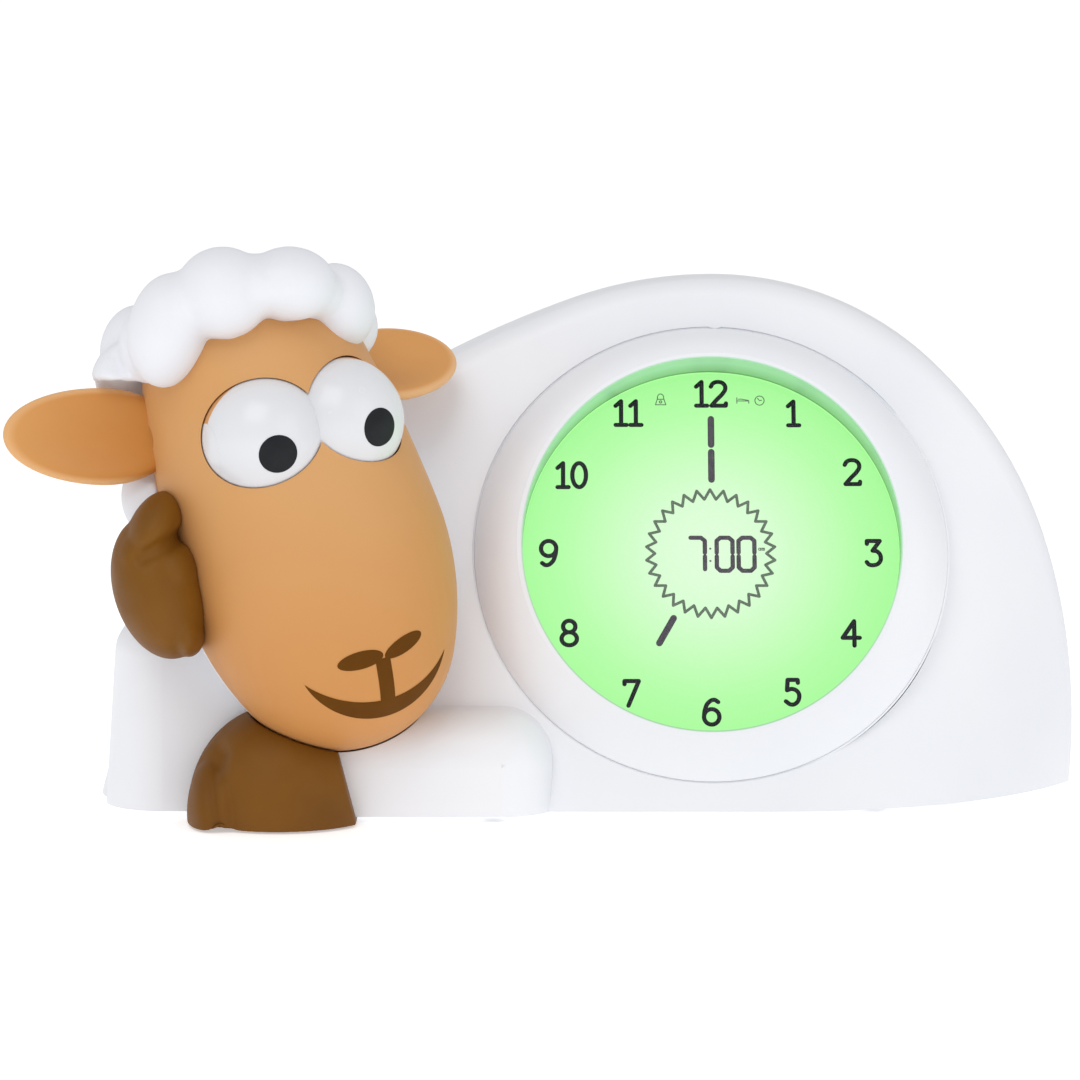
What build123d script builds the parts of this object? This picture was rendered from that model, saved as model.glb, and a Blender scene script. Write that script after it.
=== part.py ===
"""Children's alarm clock with a night light: a hill-shaped body, a round lit dial and a sheep's head.

Millimetres, +Z up.  While it is built, Z = 0 is the table, the dial faces -Y and X runs to the
viewer's right; the finished pieces are moved so that the origin is under the middle of the whole.
"""
from build123d import *
import math
import os

os.makedirs("parts", exist_ok=True)

# ---------------------------------------------------------------- clearances
fit_gap = 0.25                  # pieces that drop into one another
run_gap = 0.1                   # pieces that turn, and the holes screws pass through
press_gap = 0.02                # pieces that are pressed or screwed in

# ---------------------------------------------------------------- driving dimensions: body
wall = 2.2                      # thickness of the moulded casings
base_gap = 1.5                  # casing's lower rim above the table
apex_x = 31.5                   # where the hill is highest
body_top = 128.3                # height of the hill
right_arcs = [(83.5, 47.8), (104.7, 23.7), (146.8, 29.0)]       # (radius, turn in degrees) from the apex
left_arcs = [(107.0, 20.0), (280.0, 27.0), (27.0, 38.0), (680.0, 3.6)]
front_depth = 47.5              # front face at the table, forward of the middle
front_lean = 24.0               # front face leans back by this many degrees
front_drift = 0.25              # the front's bend moves right by this much per unit of height
front_flat_left = -91.0         # the flat part of the front at the table
front_flat_right = 45.0
front_bend_left = 32.0          # radii of the bends beside it
front_bend_right = 88.0
rear_depth = 54.0               # rear face at the table, behind the middle
rear_lean = 8.0
rear_flat_left = -51.0
rear_flat_right = 70.0
rear_bend_left = 99.0
rear_bend_right = 110.0
front_edge_round = 7.0
rear_edge_round = 8.0
split_depth = 4.0               # the two casings meet on a plane through this depth
split_lean = 8.0
seam_width = 0.5
seam_depth = 0.5

# ---------------------------------------------------------------- driving dimensions: forelegs and hooves
foreleg_left = -66.0
foreleg_right = -9.5
foreleg_front = 54.0
foreleg_height = 26.0
foreleg_round = 12.5
hoof_gap = 0.4                  # hooves to the casing and to the head
hoof_lift = 0.3                 # front hoof above the table
front_hoof_right = -57.0        # the front hoof's inner side at the table
front_hoof_lean = 14.4
front_hoof_centre = (-76.0, -47.0, 3.0)
front_hoof_axes = (22.6, 21.5, 25.0)
front_toe_centre = (-90.5, -51.0, 2.0)
front_toe_axes = (8.2, 17.0, 15.5)
raised_hoof_centre = (-103.6, -61.5, 56.8)
raised_hoof_axes = (11.6, 18.5, 15.2)
raised_toe_centre = (-105.6, -58.5, 68.0)
raised_toe_axes = (8.6, 17.0, 14.2)
raised_toe_turn = 16.0
arm_left = -120.2
arm_right = -70.0
arm_front = 46.0
arm_back = 4.0
arm_top = 48.0
arm_round = 9.0
arm_corner = 15.0
arm_taper = 3.9

# ---------------------------------------------------------------- driving dimensions: dial
dial_x = 29.9
dial_z = 62.3
bezel_radius = 58.9
bezel_groove = 0.5
bezel_foot = 8.0                # bezel's side wall below the face plane
tab_drop = 2.5
tab_thick = 2.5
tab_width = 9.0
lip_wall = 1.4                  # lip's crest outside the opening
lip_height = 7.8
lip_tilt = 5.45                 # the upper lip stands forward like a hood
shoulder_step = 3.9             # shoulder inside the bezel's edge
shoulder_share = 0.6            # where the shoulder lies between the face and the lip
opening_ledge = 3.1             # ledge that holds the window in the pocket
pocket_radius = 50.0
pocket_depth = 14.0
pocket_wall = 2.5
window_thick = 1.5
lcd_thick = 1.8
diffuser_thick = 2.0
stack_gap = 0.1
light_box_wall = 2.2
strip_half = 16.0               # contact strip: half its length, its thickness and its way inside the pocket's wall
strip_thick = 2.0
strip_margin = 7.0
board_thick = 1.6
board_side = 4.84               # board's edges beyond the middles of its screws
board_head = 3.84
board_corner = 6.0
board_post_inset = 2.1          # board's screws inside the bezel's edge
board_angles = (45.0, 135.0, 225.0, 315.0)
tab_offset = 4.7                # bezel's screws outside its edge
tab_angles = (40.0, 140.0, 215.0, 325.0)
led_count = 12
led_margin = 14.0               # light-emitting diodes inside the pocket's wall

shoulder_radius = bezel_radius - shoulder_step
opening_radius = pocket_radius - opening_ledge
lip_radius = opening_radius + lip_wall
strip_far = pocket_radius - strip_margin
strip_near = strip_far - strip_thick
led_ring = pocket_radius - led_margin
board_post_ring = bezel_radius - board_post_inset
tab_ring = bezel_radius + tab_offset

# ---------------------------------------------------------------- driving dimensions: rear controls
bay_x = 25.0                    # battery bay, seen from the front
bay_low = 9.0
bay_width = 55.0
bay_height = 47.0
bay_depth = 17.0
rim_thick = 1.8                 # frame round the bay, which the tray and the door rest against
tray_wall = 1.6
door_margin = 3.0
door_thick = 2.0
door_gap = 0.3
door_screw_drop = 6.0           # the door's screw below its upper edge
battery_radius = 7.15
battery_length = 49.6
battery_count = 3
battery_lift = 0.3              # cells above the tray's floor
button_middle = 15.0
button_height = 78.0
button_pitch = 15.0
button_radius = 4.3
button_names = ("time_button", "alarm_button", "wake_button", "light_button", "minus_button", "plus_button")
night_button_height = 102.0
night_button_radius = 9.0
button_travel = 0.8
button_gap = 0.3
button_proud = 1.4
button_flange = 1.0
stem_radius = 1.5
stem_reach = 3.0
switch_size = 6.0
switch_height = 2.5
plunger_height = 0.8
plunger_gap = 0.15              # left between stem and plunger at the end of the travel
button_post_x = 47.5
speaker_x = -32.0
speaker_height = 34.0
speaker_radius = 14.0
grille_pitch = 4.4
grille_hole = 1.1
socket_x = 66.0
socket_height = 13.0
socket_width = 9.0
socket_tall = 11.0
socket_deep = 12.0
socket_barrel = 4.0
socket_bore = 2.9
socket_pin = 1.0

# ---------------------------------------------------------------- driving dimensions: base and screws
base_thick = 2.6
foot_radius = 6.5
foot_height = 2.4
foot_places = ((-88.0, -20.0), (86.0, -18.0), (-84.0, 18.0), (86.0, 28.0))
front_boss_places = ((-80.0, -41.2), (-24.0, -49.3), (70.0, -34.5))
rear_boss_places = ((-36.0, 47.3), (82.0, 46.6))
boss_height = 13.0
post_places = ((-108.0, 30.0), (31.5, 119.5), (96.0, 84.0), (108.0, 34.0))
post_radius = 3.4
post_seat = 10.0                # screw seat behind the joint of the casings
post_grip = 8.0
seat_radius = 2.9
screw_radius = 1.25
screw_head_radius = 2.4
screw_head_height = 1.6

# ---------------------------------------------------------------- driving dimensions: head
head_centre = (-71.9, -46.0, 76.4)
head_yaw = 23.0
head_roll = 16.0
head_pitch = -5.0
head_crown = 58.3               # top of the skull above the head's centre
head_arcs = [(28.0, 79.0), (358.0, 7.1), (70.0, 31.1)]          # crown, brow, cheek; the chin closes it
head_wall = 2.2
head_gap = 0.3                  # head's back to the casing's face
part_depth = 6.0                # tan front and white back of the head meet here
fleece_gap = 0.1
ring_puffs = 9
ring_puff_turn = 8.5
ring_puff_shift = (-3.2, 1.3)
ring_puff_radius = 9.5
ring_puff_reach = 25.3
ring_puff_half = 6.5            # each tuft of the ring is two balls, turned this far either way
ring_puff_height = 53.3
ring_puff_slope = 0.38
crown_puff_radius = 11.5
crown_puff_reach = 9.0
crown_puff_height = 49.5
back_puff_radius = 12.0
back_puff_rows = ((32.0, 22.5, 5, 38.0), (12.0, 29.0, 4, 30.0), (-8.0, 26.0, 5, 38.0))  # height, reach, count, start
neck_radius = 13.0
neck_place = (-64.0, 56.0)
neck_deep = 14.0
neck_screw_ring = 9.0
neck_angles = (45.0, 135.0, 225.0, 315.0)
lead_hole = 3.0

# ---------------------------------------------------------------- driving dimensions: eyes
eye_side = 1.3                  # the eye axis in the head's frame: its middle's X, its depth and its height
eye_depth = 19.5
eye_height = 17.7
eye_tilt = 5.0
eye_spacing = 9.7               # balls to either side of the middle
eye_radius = 15.3
eye_wall = 1.6
eye_clear = 0.4
white_low = -62.0               # the white's lower edge, in degrees from straight ahead
lid_start = 70.0                # the white's upper edge, where the lid begins
lid_span = 115.0
arm_notch = (165.0, 303.0)      # slots that the bracket's arms and the idler gear pass through
arm_notch_half = 7.4
gear_notch = (153.0, 315.0)
gear_notch_half = 2.9
web_inner = 7.7
web_outer = 9.3
pupil_radius = 4.6
pupil_depth = 0.9
pupil_proud = 0.12
pupil_gap = 0.05
pupil_offsets = {"left_pupil": (-2.4, -5.2), "right_pupil": (4.8, -4.2)}
shaft_radius = 1.5
shaft_half = 10.5

gear_module = 0.7
eye_teeth = 22
idler_teeth = 12
pinion_teeth = 12
pinion_phase = 15.0
gear_width = 3.6
bracket_arm_inner = 4.4
bracket_arm_outer = 6.6
bracket_arm_half = 2.9
plate_front = 25.4              # bracket plate behind the eye axis
plate_thick = 2.0
plate_half_width = 26.0
plate_half_height = 6.5
bracket_screw_x = 22.2
lug_inner = 20.2
lug_half = 4.0
lug_deep = 5.0
idler_pin_radius = 1.2
motor_shaft_radius = 0.75
motor_half_depth = 4.4
motor_half_height = 5.6
motor_start = 8.5
motor_length = 11.0
motor_corner = 2.0

# ---------------------------------------------------------------- driving dimensions: mouth and ears
mouth_depth = 0.8               # nose and mouth are moulded into the face to this depth
mouth_proud = 0.1
ear_lengths = {"left_ear": 39.0, "right_ear": 34.0}
ear_roots = {"left_ear": (-26.5, 2.0, 26.0), "right_ear": (25.5, 4.0, 27.0)}
ear_directions = {"left_ear": (-0.841, 0.439, 0.334), "right_ear": (0.917, 0.362, -0.106)}
ear_faces = {"left_ear": (-0.33, -0.927, 0.109), "right_ear": (-0.25, -0.73, 0.62)}
ear_fullness = 12.2
ear_root = 7.6
ear_sink = 5.0                  # the leaf starts this far inside the head
ear_thick = 8.0
ear_dish_radius = 26.0
ear_dish_depth = 2.6
ear_peg_radius = 3.0
ear_peg_length = 9.0

middle = (Align.CENTER, Align.CENTER, Align.CENTER)
upward = (Align.CENTER, Align.CENTER, Align.MIN)
downward = (Align.CENTER, Align.CENTER, Align.MAX)

# ---------------------------------------------------------------- small helpers
def block(low, high):
    """A box between two opposite corners."""
    sizes = [b - a for a, b in zip(low, high)]
    centre = [(a + b) / 2 for a, b in zip(low, high)]
    return Pos(*centre) * Box(*sizes)


def disc(radius, low, high):
    """A cylinder on the local axis from one height to another."""
    return Pos(0, 0, low) * Cylinder(radius, high - low, align=upward)


def ring(outer, inner, low, high):
    """A tube on the local axis."""
    return disc(outer, low, high) - disc(inner, low - 1, high + 1)


def ellipsoid(centre, axes):
    """An ellipsoid with its axes along X, Y and Z."""
    return Pos(*centre) * scale(Sphere(1.0), by=axes)


def joined(shapes):
    """One solid of several that overlap."""
    first, *rest = shapes
    return first.fuse(*rest) if rest else first


def group(shapes):
    """Several separate solids as one piece."""
    return Compound([solid for shape in shapes for solid in shape.solids()])


def arc_chain(start, arcs, side):
    """Tangent arcs that leave start level, bend downwards and run right (side 1) or left (side -1)."""
    x, z = start
    lean = 0.0
    edges = []
    for radius, turn in arcs:
        centre_x = x - side * radius * math.sin(lean)
        centre_z = z - radius * math.cos(lean)
        points = []
        for angle in (lean + math.radians(turn) / 2, lean + math.radians(turn)):
            points.append((centre_x + side * radius * math.sin(angle), centre_z + radius * math.cos(angle)))
        edges.append(ThreePointArc((x, z), *points))
        x, z = points[-1]
        lean += math.radians(turn)
    return edges, (x, z)


def arched_face(left, right, height, left_arcs, right_arcs, foot):
    """A face under a flat top, with tangent arcs at both ends and straight sides down to foot."""
    left_edges, left_end = arc_chain((left, height), left_arcs, -1)
    right_edges, right_end = arc_chain((right, height), right_arcs, 1)
    edges = left_edges + right_edges
    if right > left:
        edges.append(Line((left, height), (right, height)))
    edges.append(Line(left_end, (left_end[0], foot)))
    edges.append(Line(right_end, (right_end[0], foot)))
    edges.append(Line((left_end[0], foot), (right_end[0], foot)))
    return make_face(edges)


def shrunk(arcs, inset):
    """The same arcs, drawn inset by a distance."""
    return [(radius - inset, turn) for radius, turn in arcs]


# ---------------------------------------------------------------- working planes
def front_plane(x, z):
    """A plane on the flat front face, its Z outwards and its Y up the face."""
    lean = math.radians(front_lean)
    origin = (x, -front_depth + z * math.tan(lean), z)
    return Plane(origin=origin, x_dir=(1, 0, 0), z_dir=(0, -math.cos(lean), math.sin(lean)))


def rear_plane(x, z):
    """A plane on the flat rear face, its Z outwards and its Y up the face."""
    lean = math.radians(rear_lean)
    origin = (x, rear_depth - z * math.tan(lean), z)
    return Plane(origin=origin, x_dir=(-1, 0, 0), z_dir=(0, math.cos(lean), math.sin(lean)))


dial_plane = front_plane(dial_x, dial_z)
neck_plane = front_plane(*neck_place)
split_plane = Plane(origin=(0, split_depth, 0), x_dir=(1, 0, 0),
                    z_dir=(0, -math.cos(math.radians(split_lean)), math.sin(math.radians(split_lean))))
head_frame = Pos(*head_centre) * Rot(0, -head_roll, 0) * Rot(0, 0, head_yaw) * Rot(head_pitch, 0, 0)
front_side = split_plane * Box(500, 500, 250, align=upward)
rear_side = split_plane * Box(500, 500, 250, align=downward)
above_base = block((-300, -300, base_gap), (300, 300, 300))


# ---------------------------------------------------------------- body casings
def body_solid(inset, front_round, rear_round):
    """The whole hill, drawn inset by a distance, with its front and rear edges rounded."""
    outline = arched_face(apex_x, apex_x, body_top - inset, shrunk(left_arcs, inset), shrunk(right_arcs, inset), -40)
    slab = extrude(Plane.XZ * outline, 200, both=True)
    lean = math.radians(front_lean)
    level_inset = inset / math.cos(lean)
    plan = arched_face(front_flat_left, front_flat_right, front_depth - level_inset,
                       [(front_bend_left - level_inset, 90)], [(front_bend_right - level_inset, 90)], -150)
    front_dir = Vector(front_drift * math.cos(lean), math.sin(lean), math.cos(lean))
    front = extrude(mirror(plan, about=Plane.XZ), 220, dir=front_dir)
    back_lean = math.radians(rear_lean)
    back_inset = inset / math.cos(back_lean)
    back_plan = arched_face(rear_flat_left, rear_flat_right, rear_depth - back_inset,
                            [(rear_bend_left - back_inset, 90)], [(rear_bend_right - back_inset, 90)], -150)
    rear = extrude(back_plan, 220, dir=Vector(0, -math.sin(back_lean), math.cos(back_lean)))
    floor = base_gap if inset == 0 else 0.0
    solid = slab & front & rear & block((-300, -300, floor), (300, 300, 300))
    return round_edges(solid, front_round, rear_round, floor)


def round_edges(solid, front_round, rear_round, floor):
    """Rounds the two long edges, where the front and the rear meet the hill's top."""
    curved = [edge for edge in solid.edges() if edge.geom_type != GeomType.LINE and edge.center().Z > floor + 0.5]
    lean = math.tan(math.radians(split_lean))
    ahead = [edge for edge in curved if edge.center().Y < split_depth + edge.center().Z * lean]
    behind = [edge for edge in curved if edge.center().Y >= split_depth + edge.center().Z * lean]
    solid = fillet(ahead, front_round)
    behind_now = [edge for edge in solid.edges() if any((edge.center() - old.center()).length < 1e-3 for old in behind)]
    return fillet(behind_now, rear_round)


def foreleg_solid(inset):
    """The foreleg that lies along the foot of the front face."""
    front_y = -foreleg_front + inset
    right_x = foreleg_right - inset
    top_z = foreleg_height - inset
    solid = block((foreleg_left, front_y, base_gap), (right_x, -5, top_z))
    radius = foreleg_round - inset
    right_top = solid.edges().filter_by(Axis.Y).group_by(Axis.Z)[-1].sort_by(Axis.X)[-1]
    right_front = solid.edges().filter_by(Axis.Z).sort_by(Axis.X)[-2:].sort_by(Axis.Y)[0]
    front_top = solid.edges().filter_by(Axis.X).group_by(Axis.Z)[-1].sort_by(Axis.Y)[0]
    return fillet([right_top, right_front, front_top], radius)


def screw(low, shank):
    """A pan-head screw whose head starts at low and whose shank runs up from it."""
    head = disc(screw_head_radius, low, low + screw_head_height)
    return head + disc(screw_radius, low + screw_head_height, low + screw_head_height + shank)


def polar(radius, angle):
    """A point on a circle, as x and y."""
    return radius * math.cos(math.radians(angle)), radius * math.sin(math.radians(angle))


def arm_solid(inset):
    """The raised foreleg's lower part, a tapering column at the front left corner."""
    width = arm_right - arm_left - 2 * inset
    depth = arm_front + arm_back - 2 * inset
    plan = Pos((arm_left + arm_right) / 2, (arm_back - arm_front) / 2) * RectangleRounded(width, depth, arm_corner - inset)
    column = extrude(Pos(0, 0, base_gap) * plan, arm_top - inset - base_gap, taper=arm_taper)
    return fillet(column.edges().group_by(Axis.Z)[-1], arm_round - inset)


def skull(inset):
    """The egg of the head as a solid of revolution, drawn inset by a distance, in the head's frame."""
    arcs = shrunk(head_arcs, inset)
    edges, (x, z) = arc_chain((0, head_crown - inset), arcs, 1)
    turned = math.radians(sum(turn for _, turn in head_arcs))
    chin = x / math.sin(turned)
    chin_turn = math.pi - turned
    centre_z = z - chin * math.cos(turned)
    middle_angle = turned + chin_turn / 2
    middle_point = (chin * math.sin(middle_angle), centre_z + chin * math.cos(middle_angle))
    bottom = (0, centre_z - chin)
    edges.append(ThreePointArc((x, z), middle_point, bottom))
    edges.append(Line(bottom, (0, head_crown - inset)))
    return revolve(Plane.XZ * make_face(edges), Axis.Z)


def in_head(shape):
    """Moves a shape from the head's frame to its place."""
    return head_frame * shape


# ---------------------------------------------------------------- shapes that several pieces share
body_outer = body_solid(0, front_edge_round, rear_edge_round)
body_inner = body_solid(wall, front_edge_round - wall, rear_edge_round - wall)
body_core = body_solid(seam_depth, front_edge_round - seam_depth, rear_edge_round - seam_depth)
body_grown = body_solid(-hoof_gap, front_edge_round + hoof_gap, rear_edge_round + hoof_gap)
seam_groove = (split_plane * Box(500, 500, seam_width, align=middle) & above_base) - body_core
chin_clear = in_head(skull(-hoof_gap))
chin_wall = in_head(skull(-hoof_gap - wall))
head_side = neck_plane * Pos(0, 0, head_gap) * Box(500, 500, 200, align=upward)
base_top = base_gap + base_thick
tab_top = -bezel_foot - tab_drop
tab_low = tab_top - tab_thick
board_top = -pocket_depth
board_low = board_top - board_thick
dial_hole = dial_plane * disc(bezel_radius + bezel_groove, -60, 25)


def split_depth_at(z):
    """Where the casings' joint lies at a height."""
    return split_depth + z * math.tan(math.radians(split_lean))


def along_y(x, z, radius, start, end):
    """A cylinder along Y between two depths."""
    return Pos(x, start, z) * Rot(-90, 0, 0) * disc(radius, 0, end - start)


def base_bosses(places):
    """Posts that take the base screws."""
    return [Pos(x, y, 0) * disc(post_radius, base_top, base_top + boss_height) for x, y in places]


def base_bores(places):
    """The bores of those posts."""
    return [Pos(x, y, 0) * disc(screw_radius + press_gap, 0, base_top + 9) for x, y in places]


def on_ring(plane, radius, angles, shape):
    """Copies of a shape on a circle in a plane."""
    return [plane * Pos(*polar(radius, angle), 0) * shape for angle in angles]


# ---------------------------------------------------------------- casings
def front_shell():
    """Front casing with the dial's hole and pads, the forelegs and the posts for screws."""
    solid_front = (body_outer & front_side) + (arm_solid(0) & front_side) + foreleg_solid(0)
    shell = solid_front
    shell -= body_inner & front_side
    shell -= foreleg_solid(wall) - chin_wall
    shell -= arm_solid(wall) - chin_wall
    shell -= dial_hole
    shell -= chin_clear
    for boss in on_ring(dial_plane, tab_ring, tab_angles, disc(post_radius, tab_top, 0)):
        shell += (boss & body_outer) - dial_hole
    for x, z in post_places:
        shell += along_y(x, z, post_radius, -60, split_depth_at(z) + 5) & solid_front
    for boss in base_bosses(front_boss_places):
        shell += boss & solid_front
    for bore in on_ring(dial_plane, tab_ring, tab_angles, disc(screw_radius + press_gap, tab_low, tab_top + 4)):
        shell -= bore
    for x, z in post_places:
        depth = split_depth_at(z)
        shell -= along_y(x, z, screw_radius + press_gap, depth - post_grip - 1, depth + 5)
    for bore in base_bores(front_boss_places):
        shell -= bore
    shell -= neck_plane * disc(lead_hole, -20, 5)
    for hole in on_ring(neck_plane, neck_screw_ring, neck_angles, disc(screw_radius + run_gap, -20, 5)):
        shell -= hole
    return shell - seam_groove


def rear_shell():
    """Rear casing with the openings for the battery door, buttons, speaker and power socket."""
    shell = (body_outer & rear_side) - body_inner
    for x, z in post_places:
        shell += along_y(x, z, seat_radius + 1.5, split_depth_at(z) - 5, 90) & body_outer & rear_side
    for boss in base_bosses(rear_boss_places):
        shell += boss & body_outer
    for post in button_posts(post_radius, -wall + 0.5):
        shell += post
    shell += speaker_plane * ring(speaker_radius + 1.8, speaker_radius + fit_gap, -wall - 4, -wall + 0.5)
    for rib in socket_ribs():
        shell += rib
    for x, z in post_places:
        depth = split_depth_at(z)
        shell -= along_y(x, z, screw_radius + run_gap, depth - 5, 90)
        shell -= along_y(x, z, seat_radius, depth + post_seat, 90)
    for bore in base_bores(rear_boss_places):
        shell -= bore
    for bore in button_posts(screw_radius + press_gap, -wall):
        shell -= bore
    half_width = bay_width / 2 + door_margin + door_gap
    half_height = bay_height / 2 + door_margin + door_gap
    shell -= bay_plane * block((-half_width, -half_height, -wall - 5), (half_width, half_height, 10))
    shell += bay_rim()
    for offset in button_offsets:
        shell -= button_plane * Pos(offset, 0, 0) * disc(button_radius + button_gap, -10, 10)
    shell -= night_plane * disc(night_button_radius + button_gap, -10, 10)
    for place in grille_places():
        shell -= speaker_plane * Pos(*place, 0) * disc(grille_hole, -10, 10)
    shell -= socket_plane * disc(socket_barrel + fit_gap, -6, 10)
    return shell - seam_groove


def button_posts(radius, high):
    """Posts inside the rear wall that the button board is screwed to, or their bores."""
    return [button_plane * Pos(end * button_post_x, 0, 0) * disc(radius, switch_board_top, high) for end in (-1, 1)]


def socket_ribs():
    """Ribs inside the rear wall that hold the power socket between them."""
    near = socket_width / 2 + fit_gap
    rib = block((near, -socket_tall / 2, -wall - socket_deep), (near + 1.6, 5, -wall + 0.5))
    return [socket_plane * rib, socket_plane * mirror(rib, about=Plane.YZ)]


def bay_rim():
    """A frame inside the rear wall that the battery tray and its door rest against."""
    inner = (bay_width / 2, bay_height / 2)
    outer = (inner[0] + door_margin + 4.0, inner[1] + door_margin + 4.0)
    frame = block((-outer[0], -outer[1], -wall - rim_thick), (outer[0], outer[1], -wall))
    frame -= block((-inner[0], -inner[1], -20), (inner[0], inner[1], 5))
    frame += Pos(0, door_screw_height, 0) * disc(post_radius, -wall - rim_thick, -wall)
    frame += block((-post_radius, door_screw_height, -wall - rim_thick), (post_radius, inner[1] + 1, -wall))
    return bay_plane * (frame - Pos(0, door_screw_height, 0) * disc(screw_radius + press_gap, -10, 5))


def grille_places():
    """Centres of the speaker grille's holes, on rings about the middle one."""
    places = [(0.0, 0.0)]
    for turn in (1, 2):
        for step in range(6 * turn):
            places.append(polar(grille_pitch * turn, 360 * step / (6 * turn)))
    return places


def base_plate():
    """The plate that closes the body from below."""
    slice_box = block((-300, -300, base_gap), (300, 300, base_top))
    inset = wall + fit_gap
    plate = body_solid(inset, front_edge_round - inset, rear_edge_round - inset)
    plate += foreleg_solid(inset)
    plate += arm_solid(inset)
    plate &= slice_box
    for x, y in foot_places:
        plate -= Pos(x, y, 0) * disc(foot_radius + run_gap, 0, foot_height)
    for x, y in front_boss_places + rear_boss_places:
        plate -= Pos(x, y, 0) * disc(screw_radius + run_gap, 0, 10)
        plate -= Pos(x, y, 0) * disc(screw_head_radius + run_gap, 0, base_gap + screw_head_height + 0.1)
    return plate


def base_screws():
    """Screws up through the base plate."""
    low = base_gap + 0.1
    return group([Pos(x, y, 0) * screw(low, 8) for x, y in front_boss_places + rear_boss_places])


def rubber_feet():
    """Four feet let into the base plate."""
    foot = fillet(disc(foot_radius, 0, foot_height).edges().group_by(Axis.Z)[0], 0.5)
    return group([Pos(x, y, 0) * foot for x, y in foot_places])


def shell_screws():
    """Screws from behind that hold the two casings together."""
    shapes = []
    for x, z in post_places:
        seat = split_depth_at(z) + post_seat
        shapes.append(Pos(x, seat + screw_head_height, z) * Rot(90, 0, 0) * screw(0, post_seat + post_grip))
    return group(shapes)


# ---------------------------------------------------------------- dial
def dial_bezel():
    """The ring around the dial, hooded at the top, with the pocket for the display behind it."""
    shoulder_height = lip_height * shoulder_share
    shoulder = Pos(0, 0, shoulder_height) * Rot(lip_tilt * shoulder_share, 0, 0) * Circle(shoulder_radius)
    lip = Pos(0, 0, lip_height) * Rot(lip_tilt, 0, 0) * Circle(lip_radius)
    bezel = loft([Circle(bezel_radius), shoulder, lip]) + disc(bezel_radius, -bezel_foot, 0)
    bezel += disc(pocket_radius + pocket_wall, -pocket_depth, -1)
    for angle in tab_angles:
        tab = block((pocket_radius + 1, -tab_width / 2, tab_low), (tab_ring + 4, tab_width / 2, tab_top))
        bezel += Rot(0, 0, angle) * tab
    for post in on_ring(Plane.XY, board_post_ring, board_angles, disc(post_radius, board_top, -bezel_foot + 1)):
        bezel += post
    bezel -= disc(opening_radius, -60, 60)
    bezel -= disc(pocket_radius, -60, 0)
    for hole in on_ring(Plane.XY, tab_ring, tab_angles, disc(screw_radius + run_gap, tab_low - 5, tab_top + 5)):
        bezel -= hole
    for bore in on_ring(Plane.XY, board_post_ring, board_angles, disc(screw_radius + press_gap, board_top - 1, board_top + 6)):
        bezel -= bore
    return dial_plane * bezel


def stack_top(layers):
    """Height of the next display layer's front under the layers given."""
    return -sum(layers) - stack_gap * len(layers)


def display_window():
    """The clear window in front of the display."""
    return dial_plane * disc(pocket_radius - fit_gap, -window_thick, 0)


def lcd_panel():
    """The liquid crystal panel."""
    top = stack_top([window_thick])
    return dial_plane * disc(pocket_radius - fit_gap, top - lcd_thick, top)


def diffuser():
    """The sheet that spreads the backlight, with a slot for the display's contact strip."""
    top = stack_top([window_thick, lcd_thick])
    sheet = disc(pocket_radius - fit_gap, top - diffuser_thick, top)
    slot = block((-strip_half - fit_gap, -strip_far - fit_gap, -20), (strip_half + fit_gap, -strip_near + fit_gap, 5))
    return dial_plane * (sheet - slot)


def light_box():
    """The white ring that keeps the backlight in."""
    top = stack_top([window_thick, lcd_thick, diffuser_thick])
    outer = pocket_radius - fit_gap
    return dial_plane * ring(outer, outer - light_box_wall, board_top + stack_gap, top)


def contact_strip():
    """The elastic strip that joins the display to the board."""
    top = -window_thick - stack_gap - lcd_thick
    return dial_plane * block((-strip_half, -strip_far, board_top), (strip_half, -strip_near, top))


def main_board():
    """The printed board behind the dial."""
    post_x, post_y = polar(board_post_ring, board_angles[0])
    corner = (post_x + board_side, post_y + board_head)
    board = block((-corner[0], -corner[1], board_low), (*corner, board_top))
    board = fillet(board.edges().filter_by(Axis.Z), board_corner)
    for hole in on_ring(Plane.XY, board_post_ring, board_angles, disc(screw_radius + run_gap, board_low - 1, board_top + 1)):
        board -= hole
    return dial_plane * board


def backlight_leds():
    """A ring of light-emitting diodes on the board's front."""
    chip = block((-1.75, -1.4, board_top), (1.75, 1.4, board_top + 1.2))
    return group([dial_plane * Rot(0, 0, 360 * n / led_count) * Pos(led_ring, 0, 0) * chip for n in range(led_count)])


def board_components():
    """Chips, capacitors and sockets on the back of the board."""
    chips = (((-8, -7), (6, 7), 1.8), ((14, -12), (24, -2), 1.6), ((-30, 6), (-18, 18), 1.6), ((14, 8), (22, 12), 1.4),
             ((-36, -24), (-24, -18), 6.0), ((-4, -30), (8, -24), 6.0), ((26, -26), (38, -20), 6.0))
    shapes = [block((*low, board_low - tall), (*high, board_low)) for low, high, tall in chips]
    for place in ((-16, -12), (30, 14), (-6, 22)):
        shapes.append(Pos(*place, 0) * disc(3.2, board_low - 8, board_low))
    return group([dial_plane * shape for shape in shapes])


def board_screws():
    """Screws that hold the board to the bezel."""
    return group(on_ring(dial_plane, board_post_ring, board_angles, screw(board_low - screw_head_height, board_thick + 5)))


def bezel_screws():
    """Screws that hold the bezel's tabs to the front casing."""
    return group(on_ring(dial_plane, tab_ring, tab_angles, screw(tab_low - screw_head_height, tab_thick + 3.7)))


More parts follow.
